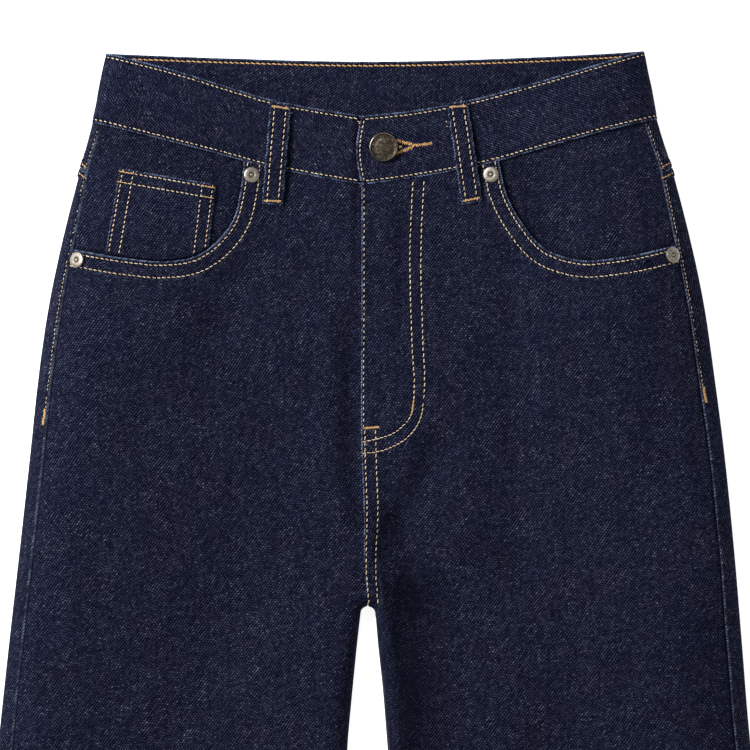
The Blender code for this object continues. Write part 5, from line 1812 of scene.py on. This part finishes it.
def sew_band():
    piece = "denim_waistband"
    for from_top, distance in ((False, BAND_STITCH[0]), (True, BAND_STITCH[1])):
        sew(piece, host_band, level_line(BAND_RIGHT, distance, from_top, 0.004, 0.777))
        sew(piece, host_band, level_line(BAND_LEFT, distance, from_top, 0.004, 0.986))
        sew(piece, host_band_under, level_line(BAND_BACK, distance, from_top, 0.01, 0.99), **UNDER)
    across = np.linspace(0.055, 0.945, 60)
    end = together(*band_point(BAND_LEFT, np.full(60, 1.0), across)) + np.array([BAND_STITCH[0], 0.0])
    sew(piece, host_band, end)
    inside = level_line(BAND_BACK, 0.0030, True, 0.040, 0.965)
    sew(piece, host_band_inside, inside, **INSIDE_SEWN)


EYE_ARMS = (((0.0132, 0.0566), (0.0236, 0.0594)), ((0.0132, 0.0650), (0.0236, 0.0608)))
EYE_TAIL = ((0.0232, 0.0602), (0.0362, 0.0586))
EYE_PALE = (((0.0148, 0.0612), (0.0172, 0.0608)), ((0.0150, 0.0605), (0.0168, 0.0602)))
# Loose ends of thread on the waistband: beside the loops' ends, and on the overlap's upper corner.
BAND_STRANDS = (
    ((-0.0530, 0.0385), (-0.0522, 0.0400)), ((-0.0535, 0.0402), (-0.0527, 0.0394)),
    ((0.0445, 0.0442), (0.0456, 0.0455)), ((0.0450, 0.0475), (0.0462, 0.0484)),
    ((-0.0112, 0.0446), (-0.0092, 0.0452)), ((-0.0105, 0.0462), (-0.0088, 0.0455)),
)


def sew_buttonhole():
    """The buttonhole's overcast arms, which show past the button, and the bartack that ends them."""
    piece = "denim_waistband"
    for start, end in EYE_ARMS:
        tack(piece, host_band, start, end, 0.0028, pitch=0.00060, lean=0.50, loose=0.00018)
    tack(piece, host_band, *EYE_TAIL, 0.0025, pitch=0.00054, lean=0.55, loose=0.00020)
    strands(piece, host_band, "topstitch", EYE_PALE, width=0.00045)
    strands(piece, host_band, "topstitch", BAND_STRANDS)


def sew_loop(loop, side):
    piece, host = "denim_" + loop.name, host_loop(loop, side)
    top, low = loop_ends(loop)
    run = loop_run(loop)[1]
    across = np.array([run[1], -run[0]])
    for way in (-1, 1):
        row = np.array([top + 0.0012 * run, low - 0.0006 * run]) + way * LOOP_STITCH * across
        sew(piece, host, row, **LONG)
    for middle, tilt in ((top + 0.0030 * run, 0.0004), (low - 0.0025 * run, -0.0003)):
        reach = 0.0054 * across + tilt * run
        tack(piece, host, middle - reach, middle + reach, width=0.0015)


def sew_back_loop(loop):
    piece = "denim_" + loop.name
    for way in (-1, 1):
        row = loop_ends(loop) + np.array([[way * LOOP_STITCH, 0.004], [way * LOOP_STITCH, -0.004]])
        sew(piece, host_patch, row, **UNDER)


def down_to_scoop(line):
    """A line on the coin pocket, run on or cut off to end just inside the pocket's mouth."""
    line = np.concatenate([line, line[-1:] + (line[-1:] - line[-2:-1]) * np.arange(1, 13)[:, None]])
    edge = SCOOP_LINES["right"][::-1]
    return line[line[:, 1] < np.interp(line[:, 0], edge[:, 0], edge[:, 1]) - COIN_ENDS]


def sew_coin_pocket():
    piece = "denim_coin_pocket"
    across = np.linspace(0, 1, 60)
    for share, sign in ((0.0, 1), (1.0, -1)):
        side = together(*coin_point(np.full(60, share), across))
        for distance in COIN_STITCH:
            sew(piece, host_coin, down_to_scoop(beside(side, distance, sign)), start=0.0002)
    top = together(*coin_point(across, np.zeros(60)))
    for distance, width, reach in zip(COIN_STITCH, COIN_THREADS, COIN_TACKED):
        row = beside(top, distance, -1)
        sew(piece, host_coin, row, start=0.0004, end=0.0610)
        total = float(lengths(row)[-1])
        for start, end in ((0.0, reach), (total - reach, total - 0.0002)):
            sew(piece, host_coin, row, start=start, end=end, width=width, **COIN_SEWN)


# ----------------------------------------------------------------------------------------- hardware

AXIS = 1e-6  # radius at which a turned profile ends at its axis
TURNED_SHARP = 50  # degrees
RIM_HIGHLIGHT = -0.8  # the value that paints a highlight along the button's rim


def turn_to(facing):
    """The turn that takes a piece's own axis, +Z, to a direction."""
    return np.array(Vector(facing).to_track_quat("Z", "Y").to_matrix())


def turned(name, profile, at, turn, steps, slot, node_name):
    """A round piece from its half profile (radius, height, and a value for patina and painted light), standing
    on a point of the garment.
    """
    rows = np.array(profile)
    angles = np.linspace(0, 2 * math.pi, steps, endpoint=False)
    radius, height = rows[:, :1], rows[:, 1:2]
    points = together(radius * np.cos(angles), radius * np.sin(angles), height)
    quads = ring_quads(len(rows), steps)[:, [0, 3, 2, 1]]
    points = points.reshape(-1, 3) @ turn.T + at
    if signed_volume(points - at, quads) < 0:
        quads = quads[:, ::-1]
    mesh = mesh_of(name, points, quads, {"recess": np.repeat(rows[:, 2], steps)}, sharp=TURNED_SHARP)
    return add_piece(name, mesh, slot, node_name)


def surface_at(x, drop, out):
    """A point on the front, moved out, with the direction that faces away from it there."""
    near = 0.0004
    outer = front_wall(np.array([x, x + near, x]), np.array([drop, drop, drop + near]))[0]
    facing = np.cross(outer[1] - outer[0], outer[0] - outer[2])
    facing /= np.linalg.norm(facing)
    return outer[0] + facing * out, facing


def arc(start, end, bulge, count, recess=0.0):
    """Points of a half profile between two of them, bulging to the left by a share of their distance."""
    start, end = np.array(start, float), np.array(end, float)
    run = end - start
    share = np.linspace(0, 1, count)[:, None]
    out = np.array([-run[1], run[0]]) * bulge * 4 * share * (1 - share)
    return [(max(float(r), AXIS), float(h), recess) for r, h in start + share * run + out]


BUTTON_LEAN = (-0.05, -0.03, 0.0)


def button_place():
    """The point of the waistband that the button stands on, and the turn of its axis."""
    at, facing = surface_at(*BUTTON_AT, BAND_PROUD + SEATED)
    return at, turn_to(unit(facing + np.array(BUTTON_LEAN)))


def make_button():
    """A dished brass button: raised rim, a ring of small beads round a low boss, and its shank."""
    r, h = BUTTON_RADIUS, BUTTON_HEIGHT
    foot = BAND_CLOTH + SEATED
    profile = [
        *arc((AXIS, 0.84 * h), (0.56 * r, 0.80 * h), 0.01, 7),
        *arc((0.60 * r, 0.76 * h), (0.82 * r, 0.76 * h), -0.02, 5, 0.25),
        *arc((0.86 * r, 0.80 * h), (0.93 * r, h), 0.20, 7),
        # the rim's outer edge, with a painted highlight
        *arc((0.94 * r, h), (r, 0.62 * h), 0.24, 8, RIM_HIGHLIGHT),
        # the underside of the rim and the shank, in painted shade
        *arc((r, 0.55 * h), (0.90 * r, 0.12 * h), 0.15, 4, 0.3),
        *((radius, height, 0.5) for radius, height in
          ((0.70 * r, 0.0), (SHANK_RADIUS, 0.0), (SHANK_RADIUS, -foot), (AXIS, -foot))),
    ]
    return turned("brass_button", profile, *button_place(), 96, "button_brass", "button")


BEADS = 26
BEAD_RADIUS = 0.00038
BEAD_FLATNESS = 0.8
BEAD_SIDES = 10
BEAD_RINGS = 5


def make_button_beads():
    """The ring of beads in the button's dish."""
    at, turn = button_place()
    across, height = 0.71 * BUTTON_RADIUS, 0.74 * BUTTON_HEIGHT
    angles = np.linspace(0, 2 * math.pi, BEAD_SIDES, endpoint=False)
    rises = np.linspace(0, math.pi / 2, BEAD_RINGS)[:, None]
    wide = np.cos(rises)
    wide[-1] = 1e-6 / BEAD_RADIUS
    bead = BEAD_RADIUS * together(np.cos(angles) * wide, np.sin(angles) * wide, BEAD_FLATNESS * np.sin(rises))
    places = np.linspace(0, 2 * math.pi, BEADS, endpoint=False)
    centres = together(across * np.cos(places), across * np.sin(places), height)
    points = (centres[:, None] + bead.reshape(-1, 3)).reshape(-1, 3) @ turn.T + at
    first = BEAD_RINGS * BEAD_SIDES * np.arange(BEADS)[:, None, None]
    quads = (ring_quads(BEAD_RINGS, BEAD_SIDES) + first).reshape(-1, 4)
    mesh = mesh_of("button_beads", points, quads, {"recess": np.zeros(len(points))})
    return add_piece("button_beads", mesh, "button_brass")


def make_rivet(rivet):
    """A low ring of nickel with a nub in its brown hollow, and painted shadow round its foot."""
    r, h = RIVET_RADIUS, RIVET_HEIGHT
    profile = [
        *arc((AXIS, 0.90 * h), (0.17 * r, 0.82 * h), 0.12, 5),
        *arc((0.19 * r, 0.74 * h), (0.22 * r, 0.60 * h), 0.0, 3, 0.35),
        *arc((0.25 * r, 0.58 * h), (0.33 * r, 0.62 * h), -0.05, 4, 0.65),
        *arc((0.37 * r, 0.76 * h), (0.44 * r, 0.84 * h), 0.12, 4, 0.08),
        *arc((0.48 * r, 0.86 * h), (0.90 * r, 0.72 * h), 0.05, 9),
        *arc((0.92 * r, 0.70 * h), (r, 0.40 * h), 0.22, 6),
        # the foot, in painted shadow
        *arc((r, 0.30 * h), (0.98 * r, 0.0), 0.05, 3, 0.4),
        (AXIS, 0.0, 0.0),
    ]
    at, facing = surface_at(rivet.x, rivet.drop, SEATED)
    turn = turn_to(unit(facing + np.array([rivet.lean, 0.0, 0.0])))
    return turned("nickel_" + rivet.name, profile, at, turn, 56, "rivet_nickel", rivet.name)


# ------------------------------------------------------------------------------ camera, light and floor

PHOTO_SIZE = 750  # the photograph's width and height in pixels
PHOTO_TOP = 50  # its row at drop 0
PIXEL = 0.00063  # metres of the garment for each pixel
SCALED_AT = 0.020  # height above the surface at which that scale holds
VIEW_SIZE = PHOTO_SIZE * PIXEL
VIEW_CENTRE = (0.0, TOP_Y - (PHOTO_SIZE / 2 - PHOTO_TOP) * PIXEL)
LENS = 250.0
SENSOR = 36.0
VIEW_HEIGHT = VIEW_SIZE * LENS / SENSOR + SCALED_AT


def make_camera():
    data = bpy.data.cameras.new("camera")
    data.lens = LENS
    data.sensor_width = SENSOR
    data.clip_start, data.clip_end = 0.1, 20
    camera = bpy.data.objects.new("camera", data)
    camera.location = (*VIEW_CENTRE, VIEW_HEIGHT)
    bpy.context.scene.collection.objects.link(camera)
    bpy.context.scene.camera = camera


def area_light(name, azimuth, elevation, distance, size, power):
    """A square light that faces the middle of what the camera sees."""
    data = bpy.data.lights.new(name, "AREA")
    data.size, data.energy = size, power
    light = bpy.data.objects.new(name, data)
    turn, rise = math.radians(azimuth), math.radians(elevation)
    way = Vector((math.cos(turn) * math.cos(rise), math.sin(turn) * math.cos(rise), math.sin(rise)))
    light.location = Vector((*VIEW_CENTRE, 0)) + way * distance
    light.rotation_mode = "QUATERNION"
    light.rotation_quaternion = way.to_track_quat("Z", "Y")
    bpy.context.scene.collection.objects.link(light)


FLOOR_HALF = 6.0
FLOOR_BELOW = 0.0002  # under the garment's own underside
FLOOR_GREY = (0.90, 0.90, 0.90, 1)
FLOOR_GLOW = 0.80
SURROUND = 0.38  # strength of the even light from all round


def make_studio():
    """A white floor, an even white surround, a key light from the upper left and a weak one opposite."""
    mesh = bpy.data.meshes.new("floor")
    half = FLOOR_HALF
    corners = [(-half, -half, 0), (half, -half, 0), (half, half, 0), (-half, half, 0)]
    mesh.from_pydata(corners, [], [(0, 1, 2, 3)])
    glow = dict(Emission_Color=(1, 1, 1, 1), Emission_Strength=FLOOR_GLOW)
    mesh.materials.append(new_material("floor", 0.9, Base_Color=FLOOR_GREY, **glow)[0])
    floor = bpy.data.objects.new("floor", mesh)
    floor.location.z = -FLOOR_BELOW
    bpy.context.scene.collection.objects.link(floor)
    world = bpy.data.worlds.new("surround")
    world.use_nodes = True
    background = world.node_tree.nodes["Background"]
    background.inputs["Color"].default_value = (1, 1, 1, 1)
    background.inputs["Strength"].default_value = SURROUND
    bpy.context.scene.world = world
    area_light("key", azimuth=150, elevation=42, distance=1.9, size=0.68, power=46)
    area_light("fill", azimuth=-30, elevation=55, distance=3.0, size=1.6, power=7)
    bpy.context.scene.view_settings.view_transform = "Standard"


# ----------------------------------------------------------------------------------------- all of it


def main():
    make_camera()
    make_studio()
    for side in BOTH:
        make_front(side)
        make_back_piece("yoke_" + side, side, yoke_rails(side))
        make_back_piece("back_" + side, side, back_rails())
        make_facing(side)
        make_back_pocket(side)
        sew_front(side)
        sew_back(side)
    make_waistband()
    sew_band()
    sew_buttonhole()
    make_coin_pocket()
    sew_coin_pocket()
    for loop, side in zip(FRONT_LOOPS, BOTH):
        make_front_loop(loop, side)
        sew_loop(loop, side)
    for loop in BACK_LOOPS:
        make_back_loop(loop)
        sew_back_loop(loop)
    make_sewing()
    make_button()
    make_button_beads()
    for rivet in RIVETS:
        make_rivet(rivet)


main()
